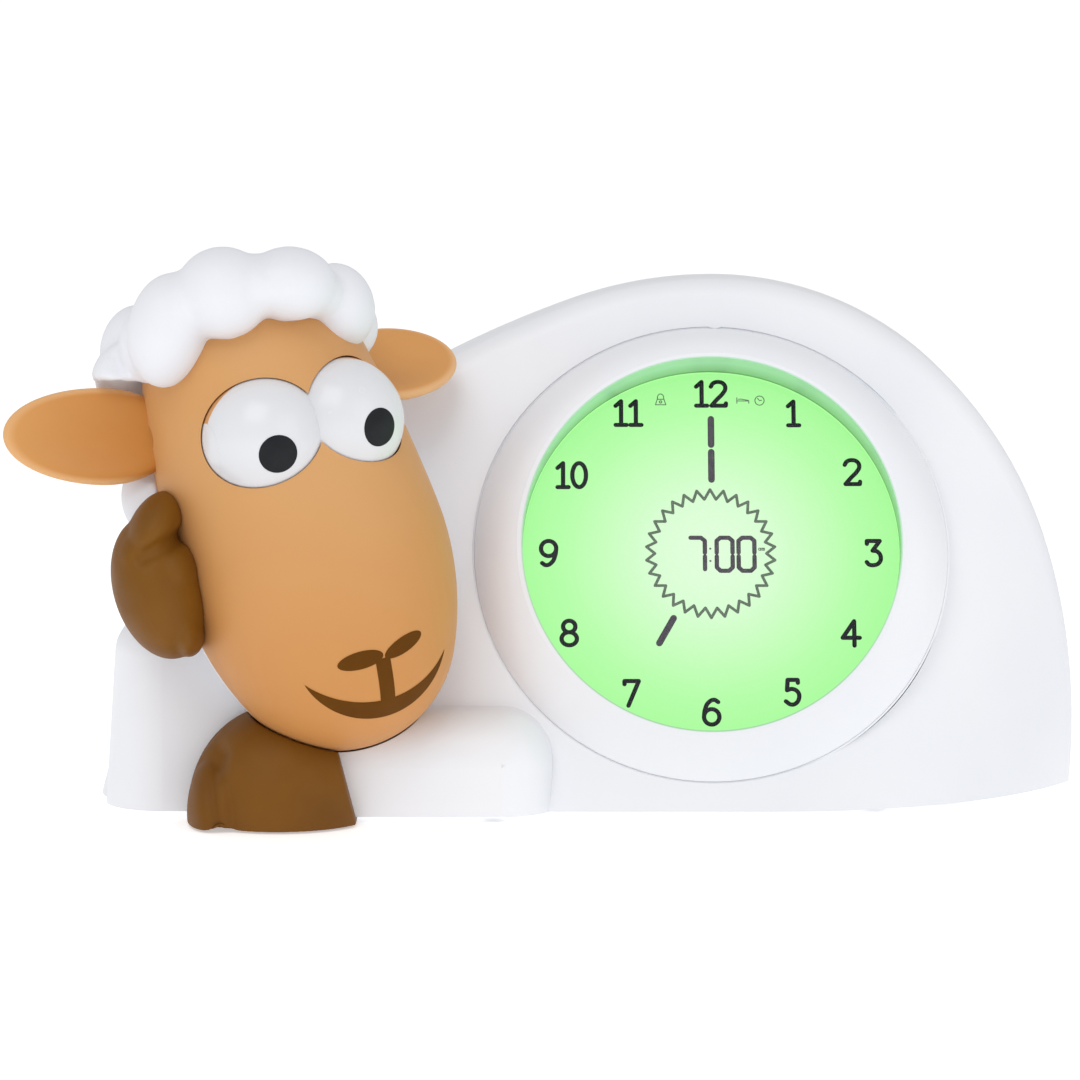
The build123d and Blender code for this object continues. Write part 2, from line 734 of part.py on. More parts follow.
# ---------------------------------------------------------------- rear controls
cap_low = -wall - button_gap - button_flange
switch_top = cap_low - stem_reach - button_travel - plunger_gap
switch_board_top = switch_top - plunger_height - switch_height
button_plane = rear_plane(button_middle, button_height)
night_plane = rear_plane(button_middle, night_button_height)
bay_plane = rear_plane(bay_x, bay_low + bay_height / 2 + door_margin)
speaker_plane = rear_plane(speaker_x, speaker_height)
socket_plane = rear_plane(socket_x, socket_height)
button_offsets = [button_pitch * (n - (len(button_names) - 1) / 2) for n in range(len(button_names))]
night_rise = (night_button_height - button_height) / math.cos(math.radians(rear_lean))
door_screw_height = bay_height / 2 + door_margin - door_screw_drop
battery_centre = -wall - bay_depth + battery_radius + battery_lift
battery_offsets = [bay_height / battery_count * (n - (battery_count - 1) / 2) for n in range(battery_count)]


def button_cap(radius):
    """A push button: a domed cap, its flange behind the wall and its stem."""
    cap = disc(radius, cap_low, button_proud)
    cap = fillet(cap.edges().group_by(Axis.Z)[-1], 0.6)
    cap += disc(radius + 1.3, cap_low, cap_low + button_flange)
    return cap + disc(stem_radius, cap_low - stem_reach, cap_low)


def tact_switches():
    """One switch behind each button."""
    half = switch_size / 2
    switch = block((-half, -half, switch_board_top), (half, half, switch_board_top + switch_height))
    switch += disc(1.2, switch_board_top, switch_top)
    shapes = [button_plane * Pos(offset, 0, 0) * switch for offset in button_offsets]
    return group(shapes + [night_plane * switch])


def button_board():
    """The board that carries the buttons' switches."""
    low = switch_board_top - board_thick
    board = block((-button_post_x - 5, -7, low), (button_post_x + 5, 7, switch_board_top))
    board += block((-9, 0, low), (9, night_rise + 7, switch_board_top))
    for end in (-1, 1):
        board -= Pos(end * button_post_x, 0, 0) * disc(screw_radius + run_gap, low - 1, switch_board_top + 1)
    return button_plane * board


def button_board_screws():
    """Screws that hold the button board."""
    fastener = screw(switch_board_top - board_thick - screw_head_height, board_thick + 5)
    return group([button_plane * Pos(end * button_post_x, 0, 0) * fastener for end in (-1, 1)])


def battery_tray():
    """The open box behind the battery door."""
    half = (bay_width / 2, bay_height / 2)
    high = -wall - rim_thick
    low = -wall - bay_depth
    outer = block((-half[0] - tray_wall, -half[1] - tray_wall, low - tray_wall), (half[0] + tray_wall, half[1] + tray_wall, high))
    return bay_plane * (outer - block((-half[0], -half[1], low), (half[0], half[1], 5)))


def batteries():
    """The cells, lying across the bay, the middle one the other way round."""
    cell = disc(battery_radius, -battery_length / 2, battery_length / 2 - 1)
    cell += disc(2.7, battery_length / 2 - 1, battery_length / 2)
    shapes = []
    for n, offset in enumerate(battery_offsets):
        facing = 90 if n % 2 == 0 else -90
        shapes.append(bay_plane * Pos(0, offset, battery_centre) * Rot(0, facing, 0) * cell)
    return group(shapes)


def battery_contacts():
    """Spring and plate contacts at both ends of the cells."""
    face = bay_width / 2 - 0.5
    contact = block((face, -5, -5), (bay_width / 2, 5, 5))
    contact += Pos(face, 0, 0) * Rot(0, -90, 0) * disc(3.0, 0, face - battery_length / 2 - 0.3)
    shapes = []
    for offset in battery_offsets:
        for turn in (0, 180):
            shapes.append(bay_plane * Pos(0, offset, battery_centre) * Rot(0, 0, turn) * contact)
    return group(shapes)


def battery_door():
    """The cover of the battery bay, with finger ridges and a screw hole."""
    half_width = bay_width / 2 + door_margin
    half_height = bay_height / 2 + door_margin
    door = block((-half_width, -half_height, -wall), (half_width, half_height, -wall + door_thick))
    door = fillet(door.edges().filter_by(Axis.Z), 2)
    for n in range(4):
        door += Pos(0, -half_height + 6 + 3 * n, -wall + door_thick) * Box(20, 1, 0.5, align=upward)
    door -= Pos(0, door_screw_height, 0) * disc(screw_radius + run_gap, -10, 10)
    return bay_plane * door


def battery_door_screw():
    """The screw that keeps the battery door shut."""
    fastener = Pos(0, door_screw_height, -wall + door_thick + screw_head_height) * Rot(180, 0, 0) * screw(0, door_thick + rim_thick)
    return bay_plane * fastener


def speaker_frame():
    """The loudspeaker's basket."""
    bowl = disc(speaker_radius, -wall - 1.6, -wall) + disc(speaker_radius - 3, -wall - 5, -wall - 1.6)
    return speaker_plane * (bowl - disc(speaker_radius - 1.5, -wall - 1.0, 0) - disc(speaker_radius - 4, -wall - 3.6, 0))


def speaker_cone():
    """The loudspeaker's cone, glued into the basket."""
    return speaker_plane * disc(speaker_radius - 1.6, -wall - 1.0, -wall - 0.6)


def speaker_magnet():
    """The loudspeaker's magnet."""
    return speaker_plane * disc(7.0, -wall - 9, -wall - 5)


def dc_socket():
    """The power inlet: a housing with a round barrel and a centre pin."""
    housing = block((-socket_width / 2, -socket_tall / 2, -wall - socket_deep), (socket_width / 2, socket_tall / 2, -wall))
    housing += disc(socket_barrel, -wall, -0.4)
    housing -= disc(socket_bore, -wall - 9, 5)
    return socket_plane * (housing + disc(socket_pin, -wall - 10, -1.2))


# ---------------------------------------------------------------- hooves
def raised_hoof():
    """The cloven hoof that props the cheek, in front of the raised foreleg."""
    toe = Pos(*raised_toe_centre) * Rot(0, raised_toe_turn, 0) * ellipsoid((0, 0, 0), raised_toe_axes)
    hoof = ellipsoid(raised_hoof_centre, raised_hoof_axes) + toe
    return hoof - chin_clear - in_head(back_tufts(hoof_gap)) - arm_solid(-hoof_gap) - body_grown


def front_hoof():
    """The hoof on the table under the chin, with its small toe."""
    hoof = ellipsoid(front_hoof_centre, front_hoof_axes) + ellipsoid(front_toe_centre, front_toe_axes)
    hoof &= Pos(front_hoof_right, 0, 0) * Rot(0, -front_hoof_lean, 0) * block((-200, -200, -200), (0, 200, 200))
    hoof &= block((-200, -200, hoof_lift), (200, 200, 200))
    return hoof - chin_clear - arm_solid(-hoof_gap) - foreleg_solid(-hoof_gap) - body_grown


# ---------------------------------------------------------------- head casings
behind_part = block((-100, part_depth, -100), (100, 100, 120))
before_part = block((-100, -100, -100), (100, part_depth, 120))
eye_place = Pos(eye_side, -eye_depth, eye_height) * Rot(0, eye_tilt, 0)


def in_eyes(shape):
    """Moves a shape from the eyes' frame, whose X is the eye axis, to its place."""
    return head_frame * eye_place * shape


def eye_balls(grow):
    """Two overlapping balls on the eye axis, grown by a clearance."""
    return Pos(-eye_spacing, 0, 0) * Sphere(eye_radius + grow) + Pos(eye_spacing, 0, 0) * Sphere(eye_radius + grow)


def cap_tufts():
    """The tufts that ring and cover the crown."""
    balls = []
    for n in range(ring_puffs):
        turn = ring_puff_turn + 360 * n / ring_puffs
        height = ring_puff_height - ring_puff_slope * (polar(ring_puff_reach, turn)[1] + ring_puff_reach)
        for half in (-ring_puff_half, ring_puff_half):
            balls.append(Pos(*polar(ring_puff_reach, turn + half), height) * Sphere(ring_puff_radius))
    ring_tufts = Pos(*ring_puff_shift, 0) * joined(balls)
    for turn in (30, 150, 270):
        ring_tufts += Pos(*polar(crown_puff_reach, turn), crown_puff_height) * Sphere(crown_puff_radius)
    return ring_tufts


def back_tufts(grow):
    """The tufts down the back of the head, grown by a clearance."""
    balls = []
    for height, reach, count, start in back_puff_rows:
        for n in range(count):
            x, y = polar(reach, start + (180 - 2 * start) * n / (count - 1))
            balls.append(Pos(x, y, height) * Sphere(back_puff_radius + grow))
    return joined(balls)


def face_shell():
    """The tan front of the head, open where the eyes look out, with lugs for the eye bracket."""
    shell = (skull(0) - skull(head_wall)) & before_part
    lug = block((lug_inner, plate_front - lug_deep, -lug_half), (40, plate_front, lug_half))
    for lug_shape in (lug, mirror(lug, about=Plane.YZ)):
        shell += eye_place * lug_shape & skull(head_wall - 0.5)
    shell -= eye_place * eye_balls(eye_clear)
    shell -= mouth_shape()
    for bore in bracket_fasteners(disc(screw_radius + press_gap, 0, plate_thick + lug_deep + 4)):
        shell -= eye_place * bore
    return (in_head(shell) & head_side) - ear_pegs(run_gap)


def fleece_shell():
    """The white back of the head with its tufts, and the neck that meets the casing."""
    outer = (skull(-fleece_gap) & behind_part) + cap_tufts() + back_tufts(0)
    inner = (skull(head_wall) & behind_part) + (skull(-fleece_gap) & before_part)
    shell = in_head(outer - inner) & head_side
    inside = in_head(skull(head_wall - 0.3) & behind_part)
    shell += neck_plane * block((-100, -100, head_gap), (100, 100, head_gap + head_wall)) & inside
    shell += neck_plane * disc(neck_radius, head_gap, neck_deep) & inside
    shell -= neck_plane * disc(lead_hole, -5, 30)
    for bore in on_ring(neck_plane, neck_screw_ring, neck_angles, disc(screw_radius + press_gap, -1, 8)):
        shell -= bore
    for name in ear_roots:
        shell -= in_head(ear_plane(name) * ear_leaf(name, 0.2))
    return shell


def neck_screws():
    """Screws from inside the body that hold the head."""
    return group(on_ring(neck_plane, neck_screw_ring, neck_angles, screw(-wall - screw_head_height, wall + 7)))


# ---------------------------------------------------------------- ears
def ear_plane(name):
    """An ear's own frame: X along it, Z out of its open face."""
    along = Vector(*ear_directions[name]).normalized()
    face = Vector(*ear_faces[name])
    face = (face - along * face.dot(along)).normalized()
    return Plane(origin=ear_roots[name], x_dir=along, z_dir=face)


def ear_leaf(name, grow):
    """The leaf of an ear: a thick plate with a rounded rim."""
    length = ear_lengths[name]
    points = [(-ear_sink, ear_root + grow), (length * 0.35, ear_fullness + grow),
              (length * 0.72, ear_fullness * 0.86 + grow), (length + grow, 0)]
    below = [(x, -y) for x, y in points]
    outline = [Spline(*points, tangents=((1, 0.5), (0, -1))), Spline(*below, tangents=((1, -0.5), (0, 1))),
               Line(points[0], below[0])]
    leaf = extrude(make_face(outline), ear_thick / 2 + grow, both=True)
    rims = [edge for edge in leaf.edges() if abs(edge.center().Z) > ear_thick / 2 - 0.1 and edge.center().X > 0]
    return fillet(rims, ear_thick / 2 - 0.4)


def ear(name):
    """One ear: a dished leaf on a peg."""
    dish = Pos(ear_lengths[name] * 0.4, 0, ear_thick / 2 - ear_dish_depth + ear_dish_radius) * Sphere(ear_dish_radius)
    leaf = ear_plane(name) * (ear_leaf(name, 0) - dish) - skull(-fleece_gap - 0.05)
    peg = Rot(0, 90, 0) * disc(ear_peg_radius, -ear_peg_length, 6)
    return in_head(leaf + ear_plane(name) * peg)


def ear_pegs(clear):
    """Both pegs, grown by a clearance, to cut their holes."""
    peg = Rot(0, 90, 0) * disc(ear_peg_radius + clear, -ear_peg_length - 1, 6)
    return in_head(ear_plane("left_ear") * peg + ear_plane("right_ear") * peg)


# ---------------------------------------------------------------- mouth
def mouth_shape():
    """Nose, stem and smile as a thin inlay in the face's surface, in the head's frame."""
    skin = skull(-mouth_proud) - skull(mouth_depth)
    return skin & extrude(Plane.XZ * mouth_sketch(), 60, dir=Vector(0, -1, 0))


def mouth_sketch():
    """The outline of nose, stem and smile, seen from in front."""
    ends = ((-18.6, -40.5), (18.2, -43.4))
    smile = make_face([ThreePointArc(ends[0], (0.0, -54.0), ends[1]), ThreePointArc(ends[0], (-0.6, -50.0), ends[1])])
    left_lobe = Pos(-5.6, -38.9) * Rot(0, 0, -4) * Ellipse(5.6, 2.1)
    right_lobe = Pos(5.8, -38.6) * Rot(0, 0, 14) * Ellipse(5.6, 1.9)
    stem = Pos(-0.3, -45.6) * Rectangle(3.8, 11.0)
    return smile + left_lobe + right_lobe + stem


# ---------------------------------------------------------------- eye mechanism
idler_depth = gear_module * (eye_teeth + idler_teeth) / 2
pinion_depth = idler_depth + gear_module * (idler_teeth + pinion_teeth) / 2


def sector(start, end, half):
    """A fan about the eye axis, its angles measured from straight ahead upwards."""
    reach = 40
    steps = max(2, math.ceil((end - start) / 30))
    points = [(0.0, 0.0)]
    for n in range(steps + 1):
        y, z = polar(reach, start + (end - start) * n / steps)
        points.append((-y, z))
    fan = make_face(Polyline(*points, close=True))
    return extrude(Plane.YZ * fan, half, both=True)


def along_x(radius, start, end, depth=0.0):
    """A cylinder beside the eye axis, further back by depth."""
    return Pos(0, depth, 0) * Rot(0, 90, 0) * disc(radius, start, end)


def both_sides(shape):
    """A shape and its mirror image on the other side of the eyes' middle."""
    return shape + mirror(shape, about=Plane.YZ)


def gear(teeth, bore, depth, phase):
    """A spur gear with straight-flanked teeth, on an axis behind the eye axis."""
    pitch_radius = gear_module * teeth / 2
    tip = pitch_radius + 0.85 * gear_module
    root = pitch_radius - 1.15 * gear_module
    points = []
    for n in range(teeth):
        for radius, share in ((root, -0.30), (tip, -0.13), (tip, 0.13), (root, 0.30)):
            points.append(polar(radius, 360 / teeth * (n + share)))
    blank = extrude(make_face(Polyline(*points, close=True)), gear_width / 2, both=True)
    blank -= disc(bore, -gear_width, gear_width)
    return Pos(0, depth, 0) * Rot(0, 90, 0) * Rot(0, 0, phase) * blank


def roller(start, end):
    """The part of the hollow double ball between two angles, less the slots."""
    shell = (eye_balls(0) - eye_balls(-eye_wall)) & sector(start, end, 40)
    return shell - sector(*arm_notch, arm_notch_half) - sector(*gear_notch, gear_notch_half)


def pupil_cut(name, grow):
    """A short rod through the ball's skin where a pupil sits."""
    side = -1 if name == "left_pupil" else 1
    across, rise = pupil_offsets[name]
    ahead = -math.sqrt(eye_radius ** 2 - across ** 2 - rise ** 2)
    rod = Plane(origin=(0, 0, 0), z_dir=(across, ahead, rise)) * disc(pupil_radius + grow, eye_radius - 4, eye_radius + 3)
    return Pos(side * eye_spacing, 0, 0) * rod


def eyes():
    """The white front of the eye roller, with the webs that carry it on the shaft."""
    slab = along_x(30, web_inner, web_outer)
    web = slab & eye_balls(-eye_wall - 0.1)
    web += slab & eye_balls(-0.5) & sector(white_low, lid_start, 40)
    shape = roller(white_low, lid_start) + both_sides(web)
    shape -= along_x(shaft_radius + press_gap, -40, 40)
    for name in pupil_offsets:
        shape -= pupil_cut(name, pupil_gap) - eye_balls(-pupil_depth - pupil_gap)
    return in_eyes(shape)


def eyelids():
    """The tan part of the roller, which comes down when the animal sleeps."""
    return in_eyes(roller(lid_start, lid_start + lid_span))


def pupil(name):
    """A black pupil let into the eye."""
    return in_eyes((eye_balls(pupil_proud) - eye_balls(-pupil_depth)) & pupil_cut(name, 0))


def eye_shaft():
    """The shaft of the eye roller."""
    return in_eyes(along_x(shaft_radius, -shaft_half, shaft_half))


def eye_gear():
    """The gear on the eye shaft."""
    return in_eyes(gear(eye_teeth, shaft_radius + press_gap, 0, 0))


def idler_gear():
    """The gear between the eye gear and the motor's pinion."""
    return in_eyes(gear(idler_teeth, idler_pin_radius + run_gap, idler_depth, 0))


def motor_pinion():
    """The motor's pinion with its shaft."""
    pinion = gear(pinion_teeth, motor_shaft_radius / 2, pinion_depth, pinion_phase)
    return in_eyes(pinion + along_x(motor_shaft_radius, -gear_width / 2, motor_start, pinion_depth))


def idler_pin():
    """The pin that the idler turns on."""
    return in_eyes(along_x(idler_pin_radius, -bracket_arm_outer, bracket_arm_outer, idler_depth))


def eye_motor():
    """The small motor with its gearbox, as one sealed can."""
    can = block((motor_start, -motor_half_depth, -motor_half_height),
                (motor_start + motor_length, motor_half_depth, motor_half_height))
    return in_eyes(Pos(0, pinion_depth, 0) * fillet(can.edges().filter_by(Axis.X), motor_corner))


def bracket_fasteners(shape):
    """Copies of a shape at both bracket screws, pointing forwards from the back of the plate."""
    place = Pos(bracket_screw_x, plate_front + plate_thick, 0) * Rot(90, 0, 0)
    return [place * shape, Pos(-2 * bracket_screw_x, 0, 0) * place * shape]


def eye_bracket():
    """The plate across the head with two arms that carry the eye shaft and the idler."""
    plate = block((-plate_half_width, plate_front, -plate_half_height),
                  (plate_half_width, plate_front + plate_thick, plate_half_height))
    arm = block((bracket_arm_inner, 0, -bracket_arm_half), (bracket_arm_outer, plate_front + 0.5, bracket_arm_half))
    plate += both_sides(arm + along_x(bracket_arm_half, bracket_arm_inner, bracket_arm_outer))
    plate -= along_x(shaft_radius + run_gap, -40, 40)
    plate -= along_x(idler_pin_radius + press_gap, -40, 40, idler_depth)
    plate -= along_x(motor_shaft_radius + run_gap, -40, 40, pinion_depth)
    for hole in bracket_fasteners(disc(screw_radius + run_gap, -5, 20)):
        plate -= hole
    return in_head(eye_place * plate & skull(head_wall + fit_gap))


def bracket_screws():
    """Screws that hold the bracket to the face's lugs."""
    fastener = screw(-screw_head_height, plate_thick + lug_deep - 1)
    return group([in_eyes(shape) for shape in bracket_fasteners(fastener)])


def limit_switch():
    """The small switch that tells the board when the eyes are shut."""
    return in_eyes(block((-19.0, plate_front - 4.0, -3.0), (-12.0, plate_front, 3.0)))


# ---------------------------------------------------------------- the whole
def all_pieces():
    """Every piece in place, by name."""
    pieces = {}
    for make in (front_shell, rear_shell, base_plate, base_screws, rubber_feet, shell_screws, dial_bezel, display_window,
                 lcd_panel, diffuser, light_box, contact_strip, main_board, backlight_leds, board_components,
                 board_screws, bezel_screws, tact_switches, button_board, button_board_screws, battery_tray,
                 batteries, battery_contacts, battery_door, battery_door_screw, speaker_frame, speaker_cone,
                 speaker_magnet, dc_socket, raised_hoof, front_hoof, face_shell, fleece_shell, neck_screws, eyes,
                 eyelids, eye_shaft, eye_gear, idler_gear, motor_pinion, idler_pin, eye_motor, eye_bracket,
                 bracket_screws, limit_switch):
        pieces[make.__name__] = make()
    for name, offset in zip(button_names, button_offsets):
        pieces[name] = button_plane * Pos(offset, 0, 0) * button_cap(button_radius)
    pieces["night_light_button"] = night_plane * button_cap(night_button_radius)
    for name in ear_roots:
        pieces[name] = ear(name)
    for name in pupil_offsets:
        pieces[name] = pupil(name)
    pieces["nose_and_mouth"] = in_head(mouth_shape())
    return pieces


pieces = all_pieces()
boxes = [shape.bounding_box() for shape in pieces.values()]
low = [min(box.min.X for box in boxes), min(box.min.Y for box in boxes), min(box.min.Z for box in boxes)]
high = [max(box.max.X for box in boxes), max(box.max.Y for box in boxes)]
shift = (-(low[0] + high[0]) / 2, -(low[1] + high[1]) / 2, -low[2])
for name, shape in pieces.items():
    export_step(Pos(*shift) * shape, os.path.join("parts", name + ".step"))
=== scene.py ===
"""Dresses a children's alarm clock: a white hill with a lit dial, and a woolly sheep that leans on it.

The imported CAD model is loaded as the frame. Each class finishes one sub-assembly: it gives the rigid
nodes their surface and makes the pieces that the frame leaves plain, such as the wool, the soft folds of
the hooves and the marks on the dial. Metres throughout, +Z up, the dial facing -Y.
"""
from __future__ import annotations

import logging
import math
from collections.abc import Sequence
from dataclasses import dataclass, field
from enum import Enum

import bmesh
import bpy
from mathutils import Euler, Matrix, Vector
from mathutils.bvhtree import BVHTree

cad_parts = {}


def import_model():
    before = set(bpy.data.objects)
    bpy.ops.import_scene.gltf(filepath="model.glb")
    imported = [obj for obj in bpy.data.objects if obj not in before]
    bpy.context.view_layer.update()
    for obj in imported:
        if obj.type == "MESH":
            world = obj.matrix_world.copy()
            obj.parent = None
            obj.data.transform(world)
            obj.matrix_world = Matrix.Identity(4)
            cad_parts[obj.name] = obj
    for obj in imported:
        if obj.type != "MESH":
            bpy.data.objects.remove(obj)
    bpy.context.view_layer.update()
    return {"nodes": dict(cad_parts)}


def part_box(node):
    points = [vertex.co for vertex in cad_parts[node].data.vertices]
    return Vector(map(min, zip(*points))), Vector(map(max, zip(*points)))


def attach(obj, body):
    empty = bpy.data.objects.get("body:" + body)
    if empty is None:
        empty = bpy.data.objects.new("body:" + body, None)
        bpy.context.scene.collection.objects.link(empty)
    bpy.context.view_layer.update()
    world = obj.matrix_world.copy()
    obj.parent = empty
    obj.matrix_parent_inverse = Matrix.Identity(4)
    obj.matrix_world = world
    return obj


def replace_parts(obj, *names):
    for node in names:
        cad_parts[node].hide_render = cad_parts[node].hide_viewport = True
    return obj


LOG = logging.getLogger("alarm_clock")
MILLIMETRE = 0.001
MILLIMETRES = (MILLIMETRE,) * 3
IN_MILLIMETRES = Matrix.Diagonal(MILLIMETRES).to_4x4()
BALL_FINENESS = 4
FRAME_MERGE = 2e-6
SPIN_MERGE = 1e-6
Rgb = tuple[int, int, int]
Point = tuple[float, float]
Socket = bpy.types.NodeSocket


def linear(colour: Rgb) -> tuple[float, float, float, float]:
    """Turns a screen colour into the linear values that shaders take.

    Args:
        colour: Red, green and blue from 0 to 255.

    Returns:
        Linear red, green and blue from 0 to 1, and a full alpha.
    """
    shares = [value / 255 for value in colour]
    light = [share / 12.92 if share <= 0.04045 else ((share + 0.055) / 1.055) ** 2.4 for share in shares]
    return (*light, 1.0)


# ---------------------------------------------------------------- node work
class Recipe:
    """A material under construction: its node tree and its principled shader."""

    def __init__(self, name: str) -> None:
        """Starts an empty recipe.

        Args:
            name: The material's name.
        """
        self.material = bpy.data.materials.new(name)
        self.material.use_nodes = True
        self.tree = self.material.node_tree
        self.shader = self.tree.nodes["Principled BSDF"]
        self.place = self.add("ShaderNodeTexCoord").outputs["Object"]

    def add(self, kind: str, **settings: object) -> bpy.types.Node:
        """Adds a node.

        Args:
            kind: The node's type.
            **settings: Properties of the node.

        Returns:
            The new node.
        """
        node = self.tree.nodes.new(kind)
        for name, value in settings.items():
            setattr(node, name, value)
        return node

    def link(self, source: Socket, target: Socket) -> None:
        """Joins two sockets."""
        self.tree.links.new(source, target)

    def feed(self, source: Socket, socket: str) -> None:
        """Joins a value to one of the shader's sockets by name."""
        self.link(source, self.shader.inputs[socket])

    def set(self, **values: float | tuple[float, ...]) -> None:
        """Sets the shader's own sockets, their names written with underscores."""
        for name, value in values.items():
            self.shader.inputs[name.replace("_", " ")].default_value = value

    def framed(self, origin: Vector, turn: Euler, scale: Sequence[float] = (1, 1, 1)) -> Socket:
        """Gives coordinates in a frame of the piece.

        Args:
            origin: The frame's origin.
            turn: How the frame is turned.
            scale: The length of the frame's units.

        Returns:
            The coordinates in that frame.
        """
        mapping = self.add("ShaderNodeMapping", vector_type="TEXTURE")
        self.link(self.place, mapping.inputs["Vector"])
        mapping.inputs["Location"].default_value = origin
        mapping.inputs["Rotation"].default_value = turn
        mapping.inputs["Scale"].default_value = scale
        return mapping.outputs["Vector"]

    def noise(self, size: float, detail: float = 2.0, source: Socket | None = None) -> Socket:
        """Gives an even noise.

        Args:
            size: The size of its patches in metres.
            detail: How many finer layers it has.
            source: Coordinates to use in place of the piece's own.

        Returns:
            A value between 0 and 1.
        """
        noise = self.add("ShaderNodeTexNoise")
        noise.inputs["Scale"].default_value = 1 / size
        noise.inputs["Detail"].default_value = detail
        self.link(source or self.place, noise.inputs["Vector"])
        return noise.outputs["Fac"]

    def ramp(self, value: Socket, stops: Sequence[tuple[float, Rgb]]) -> Socket:
        """Colours a value.

        Args:
            value: The value to colour.
            stops: Places from 0 to 1 and their colours.

        Returns:
            The colour.
        """
        ramp = self.add("ShaderNodeValToRGB")
        band = ramp.color_ramp
        while len(band.elements) < len(stops):
            band.elements.new(1.0)
        for element, (place, colour) in zip(band.elements, stops):
            element.position = place
            element.color = linear(colour)
        self.link(value, ramp.inputs["Fac"])
        return ramp.outputs["Color"]

    def span(self, value: Socket, start: Point, end: Point, smooth: bool = False) -> Socket:
        """Maps a range of a value to another range.

        Args:
            value: The value.
            start: Its lowest and highest.
            end: What they become.
            smooth: Whether the ends are eased.

        Returns:
            The mapped value.
        """
        span = self.add("ShaderNodeMapRange", interpolation_type="SMOOTHSTEP" if smooth else "LINEAR")
        span.inputs["From Min"].default_value, span.inputs["From Max"].default_value = start
        span.inputs["To Min"].default_value, span.inputs["To Max"].default_value = end
        self.link(value, span.inputs["Value"])
        return span.outputs["Result"]

    def math(self, operation: str, first: Socket, second: Socket | float = 0.0) -> Socket:
        """Works out a value from two.

        Args:
            operation: The sum to do.
            first: The first value.
            second: The second value or a number.

        Returns:
            The result.
        """
        node = self.add("ShaderNodeMath", operation=operation)
        self.link(first, node.inputs[0])
        if isinstance(second, (int, float)):
            node.inputs[1].default_value = second
        else:
            self.link(second, node.inputs[1])
        return node.outputs["Value"]

    def mix(self, share: Socket, first: Socket | Rgb, second: Socket | Rgb) -> Socket:
        """Mixes two colours.

        Args:
            share: How much of the second.
            first: The first colour.
            second: The second colour.

        Returns:
            The mixture.
        """
        node = self.add("ShaderNodeMix", data_type="RGBA")
        self.link(share, node.inputs["Factor"])
        for colour, socket in ((first, node.inputs[6]), (second, node.inputs[7])):
            if isinstance(colour, tuple):
                socket.default_value = linear(colour)
            else:
                self.link(colour, socket)
        return node.outputs[2]

    def reach(self, vector: Socket, weights: Sequence[float]) -> Socket:
        """Gives the length of a vector, each of its parts weighed first.

        Args:
            vector: The vector.
            weights: What its parts are multiplied by.

        Returns:
            The length.
        """
        scaled = self.add("ShaderNodeVectorMath", operation="MULTIPLY")
        self.link(vector, scaled.inputs[0])
        scaled.inputs[1].default_value = weights
        length = self.add("ShaderNodeVectorMath", operation="LENGTH")
        self.link(scaled.outputs["Vector"], length.inputs[0])
        return length.outputs["Value"]

    def emboss(self, height: Socket, depth: float) -> None:
        """Raises the surface by a height.

        Args:
            height: The relief, from 0 to 1.
            depth: How deep it is in metres.
        """
        bump = self.add("ShaderNodeBump")
        bump.inputs["Strength"].default_value = 1.0
        bump.inputs["Distance"].default_value = depth
        self.link(height, bump.inputs["Height"])
        self.feed(bump.outputs["Normal"], "Normal")


# ---------------------------------------------------------------- finishes
@dataclass(frozen=True)
class Moulding:
    """Moulded plastic: a slowly clouded colour, a fine grain and a gloss that varies a little."""

    name: str
    colour: Rgb
    cloud: Rgb
    dull: Point = (0.38, 0.5)
    cloud_size: float = 0.04
    grain_size: float = 0.0006
    grain_depth: float = 0.000012
    sheen: float = 0.0
    soften: float = 0.0
    gloss: float = 0.5

    def base(self, recipe: Recipe) -> Socket:
        """Gives the clouded colour."""
        return recipe.ramp(recipe.noise(self.cloud_size), [(0.35, self.colour), (0.7, self.cloud)])

    def texture(self, recipe: Recipe, patch: float) -> None:
        """Gives a recipe this moulding's dullness, varied in patches of a size, and its fine grain."""
        recipe.feed(recipe.span(recipe.noise(patch), (0.3, 0.7), self.dull), "Roughness")
        recipe.emboss(recipe.noise(self.grain_size, 3.0), self.grain_depth)

    def make(self) -> bpy.types.Material:
        """Builds the material."""
        recipe = Recipe(self.name)
        recipe.feed(self.base(recipe), "Base Color")
        self.texture(recipe, self.cloud_size / 3)
        recipe.set(Specular_IOR_Level=self.gloss)
        if self.sheen:
            recipe.set(Sheen_Weight=self.sheen, Sheen_Roughness=0.5)
        if self.soften:
            recipe.set(Subsurface_Weight=self.soften, Subsurface_Radius=(1.0, 0.8, 0.6),
                       Subsurface_Scale=0.002)
        return recipe.material


@dataclass(frozen=True)
class Faded(Moulding):
    """Moulded plastic with painted shade: its colour deepens away from a lit point of the piece."""

    # The colour of the painted shade, the lit point, and the distances over which the shade deepens.
    deep: Rgb = (191, 132, 66)
    heart: Sequence[float] = (0.0, 0.0, 0.0)
    near: float = 0.02
    far: float = 0.06

    def base(self, recipe: Recipe) -> Socket:
        """Gives the colour, with painted shade deepening it away from the lit point of the piece.

        Args:
            recipe: The material under construction.

        Returns:
            The colour.
        """
        # Painted shade: the colour deepens with distance from the lit point.
        there = recipe.framed(Vector(self.heart), Euler((0, 0, 0)))
        reach = recipe.reach(there, (1.0, 1.0, 1.0))
        away = recipe.span(reach, (self.near, self.far), (0.0, 1.0), smooth=True)
        return recipe.mix(away, super().base(recipe), self.deep)


